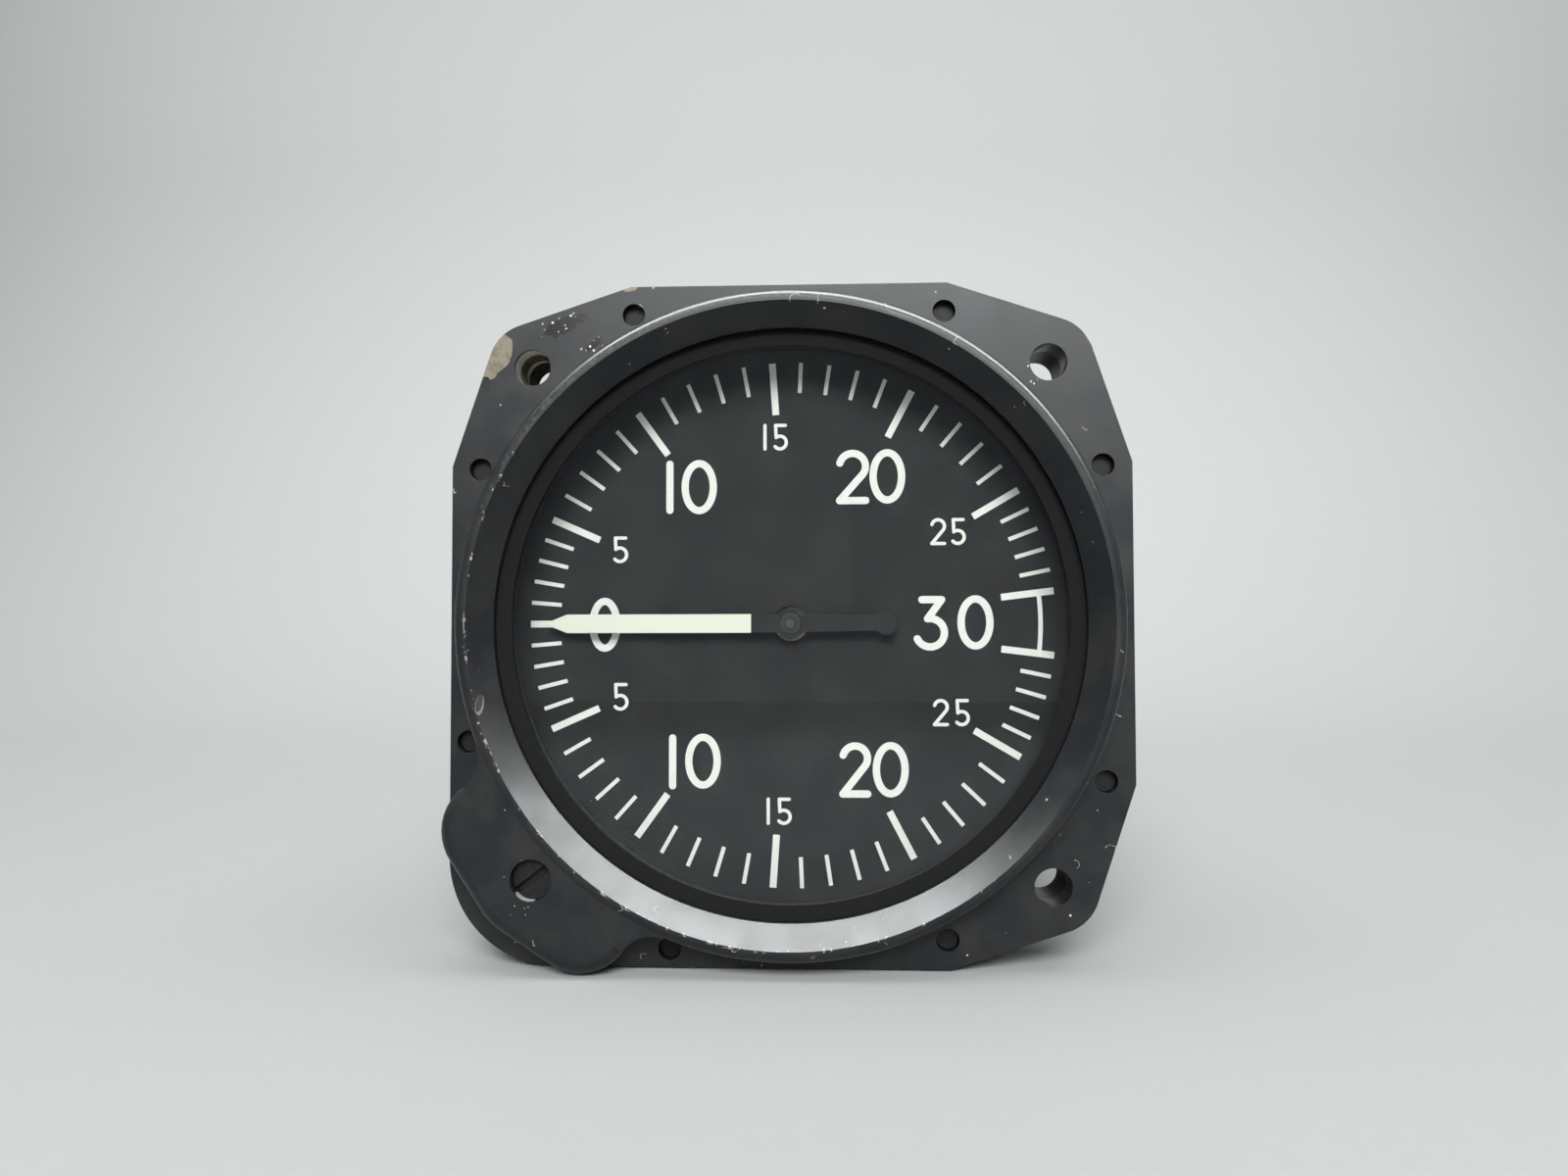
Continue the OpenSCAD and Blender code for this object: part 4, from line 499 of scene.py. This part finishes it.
def surface(name, grids, finish, body):
    """One mesh from grids of points in mm, each rings x points x 3: four neighbours make a face. A
    ring closes on itself, and the first and last ring of each grid are closed by one face."""
    points, faces, start = [], [], 0
    for grid in grids:
        rings, around = grid.shape[:2]
        index = start + np.arange(rings * around).reshape(rings, around)
        following = np.roll(index, -1, axis=1)
        quads = np.stack([index[:-1], following[:-1], following[1:], index[1:]], axis=-1)
        faces += quads.reshape(-1, 4).tolist() + [index[0][::-1].tolist(), index[-1].tolist()]
        points.append(grid.reshape(-1, 3))
        start += rings * around
    mesh = bpy.data.meshes.new(name)
    mesh.from_pydata((np.concatenate(points) * MM).tolist(), [], faces)
    mesh.materials.append(finish)
    shape = bmesh.new()
    shape.from_mesh(mesh)
    bmesh.ops.recalc_face_normals(shape, faces=shape.faces)
    shape.to_mesh(mesh)
    shape.free()
    smooth_by_angle(mesh)
    piece = bpy.data.objects.new(name, mesh)
    bpy.context.scene.collection.objects.link(piece)
    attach(piece, body)
    return piece


# A thread's ridge: steps to a turn, how far its foot is let into the bore's wall in mm, and the half
# widths of its foot and its crest as shares of the pitch
THREAD_STEPS, THREAD_FOOT, FOOT_HALF, CREST_HALF = 36, 0.04, 0.44, 0.07


def thread(middle, bore, run, pitch, deep):
    """The ridge of a thread inside a bore along y, round middle (x, z). Its profile has four points.
    After t turns it lies at the angle 2 pi t, at the run's start plus t pitches, and its crest
    stands deep in from the bore, less over the first and the last half turn."""
    turns = (run[1] - run[0]) / pitch
    turn = np.linspace(0, turns, int(turns * THREAD_STEPS) + 1)[:, None]
    height = deep * np.clip(2 * np.minimum(turn, turns - turn), 0, 1)
    radius = bore + THREAD_FOOT * np.array([1, 0, 0, 1]) - height * np.array([0, 1, 1, 0])
    along = run[0] + pitch * (turn + np.array([-FOOT_HALF, -CREST_HALF, CREST_HALF, FOOT_HALF]))
    x, z = middle[0] + radius * np.cos(2 * np.pi * turn), middle[1] + radius * np.sin(2 * np.pi * turn)
    return np.stack([x, along, z], axis=-1)


# The thread starts behind a plain bright mouth, and runs on behind the groove. Its dark brown is painted
# shade, for the dark deep in the bore.
low, high = box_of("mounting_insert")
INSERT_AT = (low[0] + high[0]) / 2, (low[2] + high[2]) / 2
INSERT_BORE, INSERT_PITCH, INSERT_DEEP = 2.25, 0.8, 0.28
INSERT_RUNS = (3.0, 5.8), (7.4, 12.0)
thread_in_painted_shade = plain_finish("thread_in_painted_shade", (0.075, 0.062, 0.046), (0.03, 0.026, 0.022), 1.4, 0.5, 0.6)
ridges = [thread(INSERT_AT, INSERT_BORE, run, INSERT_PITCH, INSERT_DEEP) for run in INSERT_RUNS]
surface("insert_thread", ridges, thread_in_painted_shade, "case")


# Window
# Flat clear glass lies behind the bevel on its seal. A black anodised ring holds it off the dial.
# A thin coating takes away most of what the glass reflects.

glass, tree, shader, place = new_finish("window_glass")
COATING = (0.27, 0.29, 0.34, 1)
clear = {"Transmission Weight": 1.0, "Roughness": 0.0, "IOR": 1.46, "Base Color": (0.95, 0.965, 0.96, 1)}
for socket, value in {**clear, "Specular Tint": COATING}.items():
    shader.inputs[socket].default_value = value
# Light passes straight through to the dial and back, so that the dial is lit as behind thin glass.
through = add(tree, "ShaderNodeBsdfTransparent", {"Color": (0.95, 0.96, 0.955, 1)}).outputs[0]
rays = add(tree, "ShaderNodeLightPath").outputs
lighting = calc(tree, "MAXIMUM", rays["Is Shadow Ray"], rays["Is Diffuse Ray"])
seen = add(tree, "ShaderNodeMixShader", {0: lighting, 1: shader.outputs[0], 2: through}).outputs[0]
feed(tree, next(n for n in tree.nodes if n.type == "OUTPUT_MATERIAL").inputs["Surface"], seen)
finish_node("lens", glass)
spacer_black = plain_finish(
    "black_anodised_ring", (0.004, 0.004, 0.0045), (0.007, 0.007, 0.0075), 0.9, 0.6,
    stretch=(1, 8, 1), specular=0.15
)
finish_node("dial_spacer", spacer_black, 0.12)


# Dial
# The dial is a flat disc in matt black enamel, screwed to the shoulder in the case.
# Its scale is printed in thick cream paint, so each mark stands a little proud and casts an edge.

dial_enamel, tree, shader, place = new_finish("dial_enamel")
grain = use(tree, paint_grain, Place=place, Per_mm=9.0)
DIAL_DARK, DIAL_LIGHT, DIAL_DUST = (0.031, 0.030, 0.0305), (0.042, 0.041, 0.0415), (0.35, 0.34, 0.31)
dial_colour = tint(tree, ramp(tree, grain["Mottle"], 0.35, 0.75), DIAL_DARK, DIAL_LIGHT)
fallen = use(tree, dust, Place=place, Share=0.05, Per_mm=0.55)["Mask"]
feed(tree, shader.inputs["Base Color"], tint(tree, fallen, dial_colour, DIAL_DUST))
feed(tree, shader.inputs["Roughness"], ramp(tree, grain["Mottle"], 0.3, 0.7, 0.66, 0.78))
shader.inputs["Specular IOR Level"].default_value = 0.0
finish_node("dial", dial_enamel, 0.08)

# Depths of the two painted faces, the paint's thickness and how far it is let into a face, in mm
DIAL_FACE, GLASS_FACE = box_of("dial")[0][1], box_of("lens")[0][1]
PAINT, LET_IN = 0.05, 0.01
scale_paint = plain_finish(
    "cream_scale_paint", (0.84, 0.83, 0.79), (0.78, 0.77, 0.73), 2.0, 0.75, bump=0.1, specular=0.1
)
# Angles in degrees, along a stroke's round end, of the points before the stroke's full width
END_ANGLES = (-82, -66, -48, -30, -14)


def stroke(path, width, lift=0.0, round_ends=True, face=DIAL_FACE):
    """A line of paint on a face at depth face: the points of path (x, z) widened to both sides by
    half the width. At a round end the half width follows the cosine of the angle as the centre
    goes on by its sine."""
    path, half = np.asarray(path, float), width / 2
    run = np.gradient(path, axis=0)
    run /= np.linalg.norm(run, axis=1, keepdims=True)
    wide = np.full(len(path), half)
    if round_ends:
        angle = np.radians(np.array(END_ANGLES))[:, None]
        head = path[:1] + run[:1] * half * np.sin(angle)
        tail = path[-1:] - run[-1:] * half * np.sin(angle[::-1])
        path = np.concatenate([head, path, tail])
        wide = np.concatenate([half * np.cos(angle[:, 0]), wide, half * np.cos(angle[::-1, 0])])
        run = np.concatenate([np.repeat(run[:1], len(angle), 0), run, np.repeat(run[-1:], len(angle), 0)])
    across = np.stack([-run[:, 1], run[:, 0]], axis=1) * wide[:, None]
    left, right = path + across, path - across
    top, foot = face - PAINT - lift, face + LET_IN
    corners = (left, foot), (left, top), (right, top), (right, foot)
    return np.stack([np.insert(side, 1, depth, axis=1) for side, depth in corners], axis=1)


def arc(centre, radii, first, last, points=28):
    """Points on an ellipse from one angle to another, in degrees from +x towards +z."""
    angle = np.radians(np.linspace(first, last, points))
    return np.stack([centre[0] + radii[0] * np.cos(angle), centre[1] + radii[1] * np.sin(angle)], axis=1)


# The scale runs from 0 at nine o'clock, up and down alike, to 30 near three o'clock. Angles are from
# nine o'clock, and the marks between those of two values are even. SCALE_R is the radius of their
# outer ends, and a long or short mark is (length, width). A line laid on another is LAYER higher.
SCALE_R, MAJOR, MINOR, LAYER = 33.2, (6.6, 0.86), (3.85, 0.5), 0.004
values = np.array([0, 5, 10, 15, 20, 25, 30])
angles = np.array([0, 23.7, 54.0, 86.0, 117.6, 149.7, 173.0])
ticks = []
for value in range(-30, 31):
    turn = np.radians(180 - np.sign(value) * np.interp(abs(value), values, angles))
    length, width = MAJOR if value % 5 == 0 else MINOR
    out = np.array([cos(turn), sin(turn)])
    ticks.append(stroke([out * SCALE_R, out * (SCALE_R - length)], width, round_ends=False))
surface("scale_ticks", ticks, scale_paint, "case")

# The two 30 marks are joined by a thin line along a circle. It ends on both marks.
END_LINE_R, END_LINE_W, END_LINE_TO = 31.3, 0.55, 6.7
end_line = arc((0, 0), (END_LINE_R, END_LINE_R), -END_LINE_TO, END_LINE_TO)
end_stroke = stroke(end_line, END_LINE_W, LAYER, round_ends=False)
surface("scale_end_line", [end_stroke], scale_paint, "case")


def band(radius, width, face):
    """A flat band on a face, all round the dial's axis, as four quarter strokes."""
    quarters = [arc((0, 0), (radius, radius), first, first + 90, 60) for first in (0, 90, 180, 270)]
    return [stroke(quarter, width, round_ends=False, face=face) for quarter in quarters]


# A faint line shows all round where the dial's edge meets the foot of the black ring. Outside it a dull
# black border on the glass is painted shade: it darkens the band inside the ring, and there the glass
# reflects nothing.
EDGE_LINE_R, EDGE_LINE_W, BORDER_R, BORDER_W = 35.25, 0.3, 34.54, 1.9
edge_grey = plain_finish("dial_edge_grey", (0.05, 0.05, 0.053), (0.03, 0.03, 0.032), 1.2, 0.7, specular=0.2)
painted_shade_black = plain_finish(
    "painted_shade_border", (0.004, 0.004, 0.0045), (0.006, 0.006, 0.0065), 0.9, 0.8, specular=0.15
)
surface("dial_edge_line", band(EDGE_LINE_R, EDGE_LINE_W, DIAL_FACE), edge_grey, "case")
surface("painted_shade_on_glass", band(BORDER_R, BORDER_W, GLASS_FACE), painted_shade_black, "case")


def digit(figure, x, z, wide, high):
    """The strokes' centre lines of one figure in a box of wide x high round (x, z): straight lines
    and parts of ellipses, with sizes as shares of r, half the width."""
    r, low, top = wide / 2, z - high / 2, z + high / 2
    if figure == "1":
        return [[(x, low), (x, z), (x, top)]]
    if figure == "0":
        return [arc((x, z), (r, high / 2), 0, 180), arc((x, z), (r, high / 2), 180, 360)]
    if figure == "2":
        head = arc((x, top - r), (r, r), 165, -38)
        return [head, [head[-1], (x - r, low)], [(x - r, low), (x + r, low)]]
    if figure == "3":
        bowl = arc((x - 0.1 * r, low + 1.05 * r), (1.05 * r, 1.05 * r), 100, -155)
        return [[(x - 0.7 * r, top), (x + 0.75 * r, top)], [(x + 0.75 * r, top), bowl[0]], bowl]
    bowl = arc((x - 0.05 * r, low + 1.02 * r), (r, 1.02 * r), 128, -140)
    return [[(x + 0.8 * r, top), (x - 0.75 * r, top)], [(x - 0.75 * r, top), bowl[0]], bowl]


# Figures: x and z of each box's middle, its width and height between line middles, and the width of the
# line. They are listed one by one, each a little out of true, as on the real dial.
BIG, SMALL = 0.92, 0.42
figures = [
    ("1", -15.4, 17.4, 0, 5.9, BIG), ("0", -11.65, 17.4, 3.6, 6.0, BIG),
    ("2", 7.85, 18.55, 3.3, 6.0, BIG), ("0", 12.25, 18.6, 3.6, 6.0, BIG),
    ("0", -23.7, -0.1, 3.1, 5.95, BIG),
    ("3", 17.7, 0.0, 3.4, 5.95, BIG), ("0", 23.2, 0.1, 3.6, 5.9, BIG),
    ("1", -15.0, -17.45, 0, 6.0, BIG), ("0", -11.15, -17.35, 3.6, 6.0, BIG),
    ("2", 8.05, -18.4, 3.1, 6.0, BIG), ("0", 12.5, -18.35, 3.6, 6.0, BIG),
    ("5", -21.75, 9.45, 1.7, 3.0, SMALL),
    ("1", -3.25, 23.7, 0, 3.0, SMALL), ("5", -1.3, 23.7, 1.6, 3.0, SMALL),
    ("2", 18.6, 11.55, 1.6, 3.0, SMALL), ("5", 21.1, 11.55, 1.6, 3.0, SMALL),
    ("5", -21.65, -9.25, 1.7, 3.1, SMALL),
    ("1", -2.9, -23.6, 0, 3.0, SMALL), ("5", -0.9, -23.6, 1.6, 3.0, SMALL),
    ("2", 18.8, -11.2, 1.6, 3.0, SMALL), ("5", 21.45, -11.2, 1.6, 3.0, SMALL),
]
figure_lines = []
for figure, x, z, wide, high, width in figures:
    for layer, path in enumerate(digit(figure, x, z, wide, high)):
        figure_lines.append(stroke(path, width, LAYER * layer))
surface("scale_figures", figure_lines, scale_paint, "case")


# Movement frame
# Two nickel silver plates stand on four brass pillars, held by steel screws. They carry the staff
# and the rocking shaft in pressed ruby jewels.

# The marks of turning lie across y, the axis of most turned pieces.
TURNED = (1, 5, 1)
STEEL_DARK, STEEL_LIGHT = (0.50, 0.50, 0.52), (0.62, 0.62, 0.64)
nickel_silver = plain_finish(
    "nickel_silver", (0.56, 0.52, 0.38), (0.66, 0.62, 0.47), 1.5, 0.3, 1.0, stretch=(6, 1, 0.4)
)
machined_brass = plain_finish(
    "machined_brass", (0.62, 0.45, 0.17), (0.72, 0.55, 0.25), 1.8, 0.26, 1.0, stretch=TURNED
)
machined_steel = plain_finish("machined_steel", STEEL_DARK, STEEL_LIGHT, 2.2, 0.28, 1.0, stretch=TURNED)
for name in ("front_plate", "rear_plate"):
    finish_node(name, nickel_silver, 0.1)
finish_node("pillars", machined_brass, 0.1)
for name in ("plate_screws", "pillar_screws"):
    finish_node(name, machined_steel, 0.06)
ruby = plain_finish("synthetic_ruby", (0.42, 0.008, 0.04), (0.55, 0.02, 0.07), 0.8, 0.08, bump=0.05)
for name in ("staff_jewels", "shaft_jewels"):
    finish_node(name, ruby)


# Pointer drive
# A sector on the rocking shaft turns the pinion staff by seven to one, and a hairspring takes up
# the play. The sector and the collet are brass, and the shafts are steel.

blued_steel = plain_finish("blued_spring_steel", (0.035, 0.05, 0.16), (0.09, 0.06, 0.13), 0.6, 0.22, 1.0)
for name in ("spring_collet", "hairspring_stud", "sector_gear", "balance_arm"):
    finish_node(name, machined_brass, 0.04)
finish_node("rocking_shaft", machined_steel)
finish_node("hairspring", blued_steel)
# The end of the staff that shows in the pointer's hub is touched in with black, as far as the depth
# STAFF_BLACK in mm.
STAFF_BLACK = 6.2
MATT_BLACK = (0.013, 0.013, 0.014)
staff_steel, tree, shader, place = new_finish("staff_steel")
y = add(tree, "ShaderNodeSeparateXYZ", {0: place}).outputs[1]
painted = calc(tree, "LESS_THAN", y, STAFF_BLACK)
turning = add(tree, "ShaderNodeMapping", {"Vector": place, "Scale": TURNED}).outputs[0]
marks = noise(tree, turning, 2.2, 5.0, 0.6)
bright = tint(tree, marks, STEEL_DARK, STEEL_LIGHT)
feed(tree, shader.inputs["Base Color"], tint(tree, painted, bright, MATT_BLACK))
feed(tree, shader.inputs["Metallic"], calc(tree, "SUBTRACT", 1.0, painted))
feed(tree, shader.inputs["Roughness"], ramp(tree, marks, 0.25, 0.75, 0.3, 0.5))
finish_node("pinion_staff", staff_steel)


# Pointer
# The pointer is stamped from thin aluminium. Its blade is cream, and the hub and tail are matt
# black, so that only the blade is seen over the dial. It is pressed on the staff's end.

# Where the blade's paint ends, in mm along x from the staff, and its two creams
BLADE_END = -4.9
CREAM, CREAM_AGED = (0.78, 0.76, 0.665), (0.725, 0.705, 0.615)
pointer_paint, tree, shader, place = new_finish("pointer_paint")
x = add(tree, "ShaderNodeSeparateXYZ", {0: place}).outputs[0]
cream = calc(tree, "LESS_THAN", x, BLADE_END)
grain = use(tree, paint_grain, Place=place, Per_mm=6.0)
blade = tint(tree, grain["Mottle"], CREAM, CREAM_AGED)
feed(tree, shader.inputs["Base Color"], tint(tree, cream, MATT_BLACK, blade))
feed(tree, shader.inputs["Roughness"], ramp(tree, grain["Mottle"], 0.3, 0.7, 0.6, 0.72))
shader.inputs["Specular IOR Level"].default_value = 0.15
bump = add(tree, "ShaderNodeBump", {"Strength": 0.2, "Distance": 0.008 * MM, "Height": grain["Height"]})
feed(tree, shader.inputs["Normal"], bump.outputs[0])
finish_node("pointer", pointer_paint, 0.08)
finish_node("pointer_hub", black_oxide_with_painted_shade, 0.08)


# Pressure capsule
# The capsule is two corrugated bronze discs soldered at the rim, on a bent aluminium bracket that
# two screws hold. Its stud carries the push rod to the crank.

bronze = plain_finish("beryllium_bronze", (0.58, 0.36, 0.14), (0.68, 0.46, 0.21), 0.9, 0.24, 1.0)
bent_alloy = plain_finish(
    "bent_aluminium", (0.55, 0.56, 0.57), (0.66, 0.67, 0.68), 1.2, 0.36, 1.0, stretch=(0.3, 1, 4)
)
finish_node("capsule", bronze)
finish_node("capsule_bracket", bent_alloy, 0.12)
for name in ("bracket_screws", "capsule_nut", "capsule_stud"):
    finish_node(name, machined_steel, 0.05)


# Acceleration dashpots
# Two small brass cylinders hang from the bracket by their nuts. In each a steel piston on a coil
# spring pumps air when the aircraft heaves.

finish_node("dashpot_cylinders", machined_brass, 0.08)
for name in ("dashpot_caps", "dashpot_nuts"):
    finish_node(name, machined_steel, 0.05)
for side in ("left", "right"):
    finish_node("dashpot_piston_" + side, machined_steel)
    # The spring stands on the cylinder's floor, and rides on no body.
    finish_node("dashpot_spring_" + side, machined_steel, follows="piston_" + side)


# Restrictor and tubes
# A brass block with a fine steel jet leaks the case's air slowly, trimmed by a bimetal strip.
# Copper tubes join it to the dashpots, the capsule and the pressure port.

drawn_copper = plain_finish("drawn_copper", (0.66, 0.32, 0.17), (0.50, 0.22, 0.12), 0.7, 0.3, 1.0)
bonded_strip = plain_finish(
    "bonded_bimetal", (0.52, 0.36, 0.24), (0.44, 0.38, 0.33), 1.1, 0.3, 1.0, stretch=(0.3, 1, 5)
)
finish_node("restrictor_block", machined_brass, 0.12)
for name in ("restrictor_jet", "bimetal_screw"):
    finish_node(name, machined_steel, 0.04)
finish_node("bimetal_strip", bonded_strip)
for name in ("dashpot_tubes", "static_tube"):
    finish_node(name, drawn_copper)


# Zero adjuster
# The slotted steel adjuster turns in the lobe on a rubber ring. The pinion at its inner end drives
# a brass cam sector, which turns on a steel pivot.

# The adjuster's head takes the darkened black oxide, so the shade of its recess is painted in.
finish_node("zero_screw", black_oxide_with_painted_shade, 0.1)
finish_node("zero_sector", machined_brass, 0.04)
finish_node("zero_pivot", machined_steel, 0.04)


# Rear cover and pressure port
# The cast cover closes the barrel with six screws over a gasket. The brass fitting with the tapped
# pressure port is screwed into its boss.

finish_node("rear_gasket", gasket_sheet)
finish_node("rear_cover", case_enamel, 0.25)
finish_node("rear_screws", machined_steel, 0.08)
finish_node("static_fitting", machined_brass, 0.15)
# The port is PORT_LENGTH deep from the fitting's end, and its thread stays clear of both ends.
PORT_BORE, PORT_LENGTH, PORT_CLEAR, PORT_PITCH, PORT_DEEP = 4.3, 9.0, 0.6, 1.0, 0.35
port_end = box_of("static_fitting")[1][1]
PORT_RUN = (port_end - PORT_LENGTH + PORT_CLEAR, port_end - PORT_CLEAR)
ridge = thread((0, 0), PORT_BORE, PORT_RUN, PORT_PITCH, PORT_DEEP)
surface("port_thread", [ridge], machined_brass, "case")


# Table, light and camera
# The instrument stands on its flange's lower edge and its rear rim, on a plain pale table that
# curves up behind it. A wide soft lamp hangs overhead, and weaker ones stand in front, above.

# The two lines that the instrument rests on, as (y, z) in mm, and how much the table rises with y
FRONT_FOOT, REAR_FOOT = (11.1, box_of("case_barrel")[0][2]), (101.5, box_of("rear_cover")[0][2])
TABLE_RISE = (REAR_FOOT[1] - FRONT_FOOT[1]) / (REAR_FOOT[0] - FRONT_FOOT[0])
pale, tree, shader, place = new_finish("pale_table")
fibres = noise(tree, place, 0.5, 6.0, 0.6)
PALE_DARK, PALE_LIGHT = (0.545, 0.552, 0.553), (0.575, 0.577, 0.573)
feed(tree, shader.inputs["Base Color"], tint(tree, fibres, PALE_DARK, PALE_LIGHT))
feed(tree, shader.inputs["Roughness"], ramp(tree, fibres, 0.3, 0.7, 0.75, 0.85))
shader.inputs["Specular IOR Level"].default_value = 0.12
# The sheet lies flat from FRONT to BACK, then turns up on a quarter circle of radius SWEEP into a
# wall. All of it is in mm.
FRONT, BACK, SWEEP, WALL, HALF_WIDTH = -900.0, 260.0, 320.0, 700.0, 1400.0
sweep = np.radians(np.linspace(0, 90, 24))
line_y = np.concatenate([[FRONT, 0.0], BACK + SWEEP * np.sin(sweep), [BACK + SWEEP]])
line_z = np.concatenate([[0.0, 0.0], SWEEP * (1 - np.cos(sweep)), [SWEEP + WALL]])
line_z = line_z + FRONT_FOOT[1] + (np.minimum(line_y, BACK) - FRONT_FOOT[0]) * TABLE_RISE
edge_x = np.array([-HALF_WIDTH, HALF_WIDTH])
sheet = np.stack(np.broadcast_arrays(edge_x[None, :], line_y[:, None], line_z[:, None]), axis=-1)
index = np.arange(sheet.shape[0] * 2).reshape(-1, 2)
quads = np.stack([index[:-1, 0], index[:-1, 1], index[1:, 1], index[1:, 0]], axis=-1)
mesh = bpy.data.meshes.new("table")
mesh.from_pydata((sheet.reshape(-1, 3) * MM).tolist(), [], quads.tolist())
mesh.materials.append(pale)
mesh.shade_smooth()
table = bpy.data.objects.new("table", mesh)
bpy.context.scene.collection.objects.link(table)


LAMP_COLOUR = (0.965, 1.0, 0.99)


def soft_lamp(name, at, aim, size, power, spread, matt=True, gloss=True):
    """A rectangular area lamp at a point in mm, turned to face another point, with its power in
    watts. A grid on it keeps its light within spread degrees. With matt off it shows in gloss
    alone, and with gloss off it lights matt surfaces alone."""
    lamp = bpy.data.lights.new(name, "AREA")
    lamp.shape, lamp.size, lamp.size_y, lamp.energy = "RECTANGLE", size[0] * MM, size[1] * MM, power
    lamp.spread = radians(spread)
    lamp.color = LAMP_COLOUR
    held = bpy.data.objects.new(name, lamp)
    held.visible_diffuse, held.visible_glossy, held.visible_transmission = matt, gloss, gloss
    held.location = Vector(at) * MM
    held.rotation_euler = (Vector(aim) - Vector(at)).to_track_quat("-Z", "Y").to_euler()
    bpy.context.scene.collection.objects.link(held)


soft_lamp("overhead", (0, -60, 640), (0, 0, -40), (1100, 600), 2.7, 180)
# A strip of sky that the bevel reflects along its lower half
soft_lamp("skylight_sheen", (140, -70, 420), (140, -20, 0), (950, 150), 19.0, 180, matt=False)
# One lamp in front for all, one that shows in gloss alone, and one for matt surfaces alone
soft_lamp("front", (10, -640, 362), (0, 0, 0), (420, 270), 1.15, 80)
soft_lamp("front_sheen", (200, -640, 330), (0, 0, 0), (500, 200), 0.22, 45, matt=False)
soft_lamp("front_low", (0, -640, 250), (0, 0, 0), (420, 180), 0.2, 80, gloss=False)
soft_lamp("backdrop", (0, 240, 640), (0, 620, 60), (1200, 200), 1.7, 110)

world = bpy.data.worlds.new("studio")
world.use_nodes = True
sky = world.node_tree.nodes["Background"]
ROOM_COLOUR = (0.97, 0.985, 1.0, 1)
sky.inputs["Color"].default_value = ROOM_COLOUR
# The camera, metal and glass see a pale room, which lights matt surfaces much less.
ROOM_SEEN, ROOM_LIGHT = 0.5, 0.12
rays = add(world.node_tree, "ShaderNodeLightPath").outputs
seen = calc(world.node_tree, "MAXIMUM", rays["Is Glossy Ray"], rays["Is Transmission Ray"])
seen = calc(world.node_tree, "MAXIMUM", seen, rays["Is Camera Ray"])
strength = calc(world.node_tree, "MULTIPLY_ADD", seen, ROOM_SEEN - ROOM_LIGHT, ROOM_LIGHT)
feed(world.node_tree, sky.inputs["Strength"], strength)
bpy.context.scene.world = world

# The camera stands where the photo was taken from, as worked out from the holes, the ring and the
# flange: its place in mm, its three directions, and its lens and sensor in mm.
EYE = (6.2188, -147.9272, -1.1032)
RIGHT = Vector((0.99895156, 0.04574523, -0.00177538))
UP = Vector((0.00342543, -0.03601737, 0.99934529))
AHEAD = Vector((-0.04565134, 0.99830362, 0.03613631))
camera = bpy.data.cameras.new("camera")
camera.sensor_width = 36.0
camera.lens = 28.132
camera.clip_start = 0.01
viewer = bpy.data.objects.new("camera", camera)
viewer.matrix_world = Matrix((RIGHT, UP, -AHEAD)).transposed().to_4x4()
viewer.location = Vector(EYE) * MM
bpy.context.scene.collection.objects.link(viewer)
bpy.context.scene.camera = viewer
bpy.context.scene.view_settings.view_transform = "Standard"
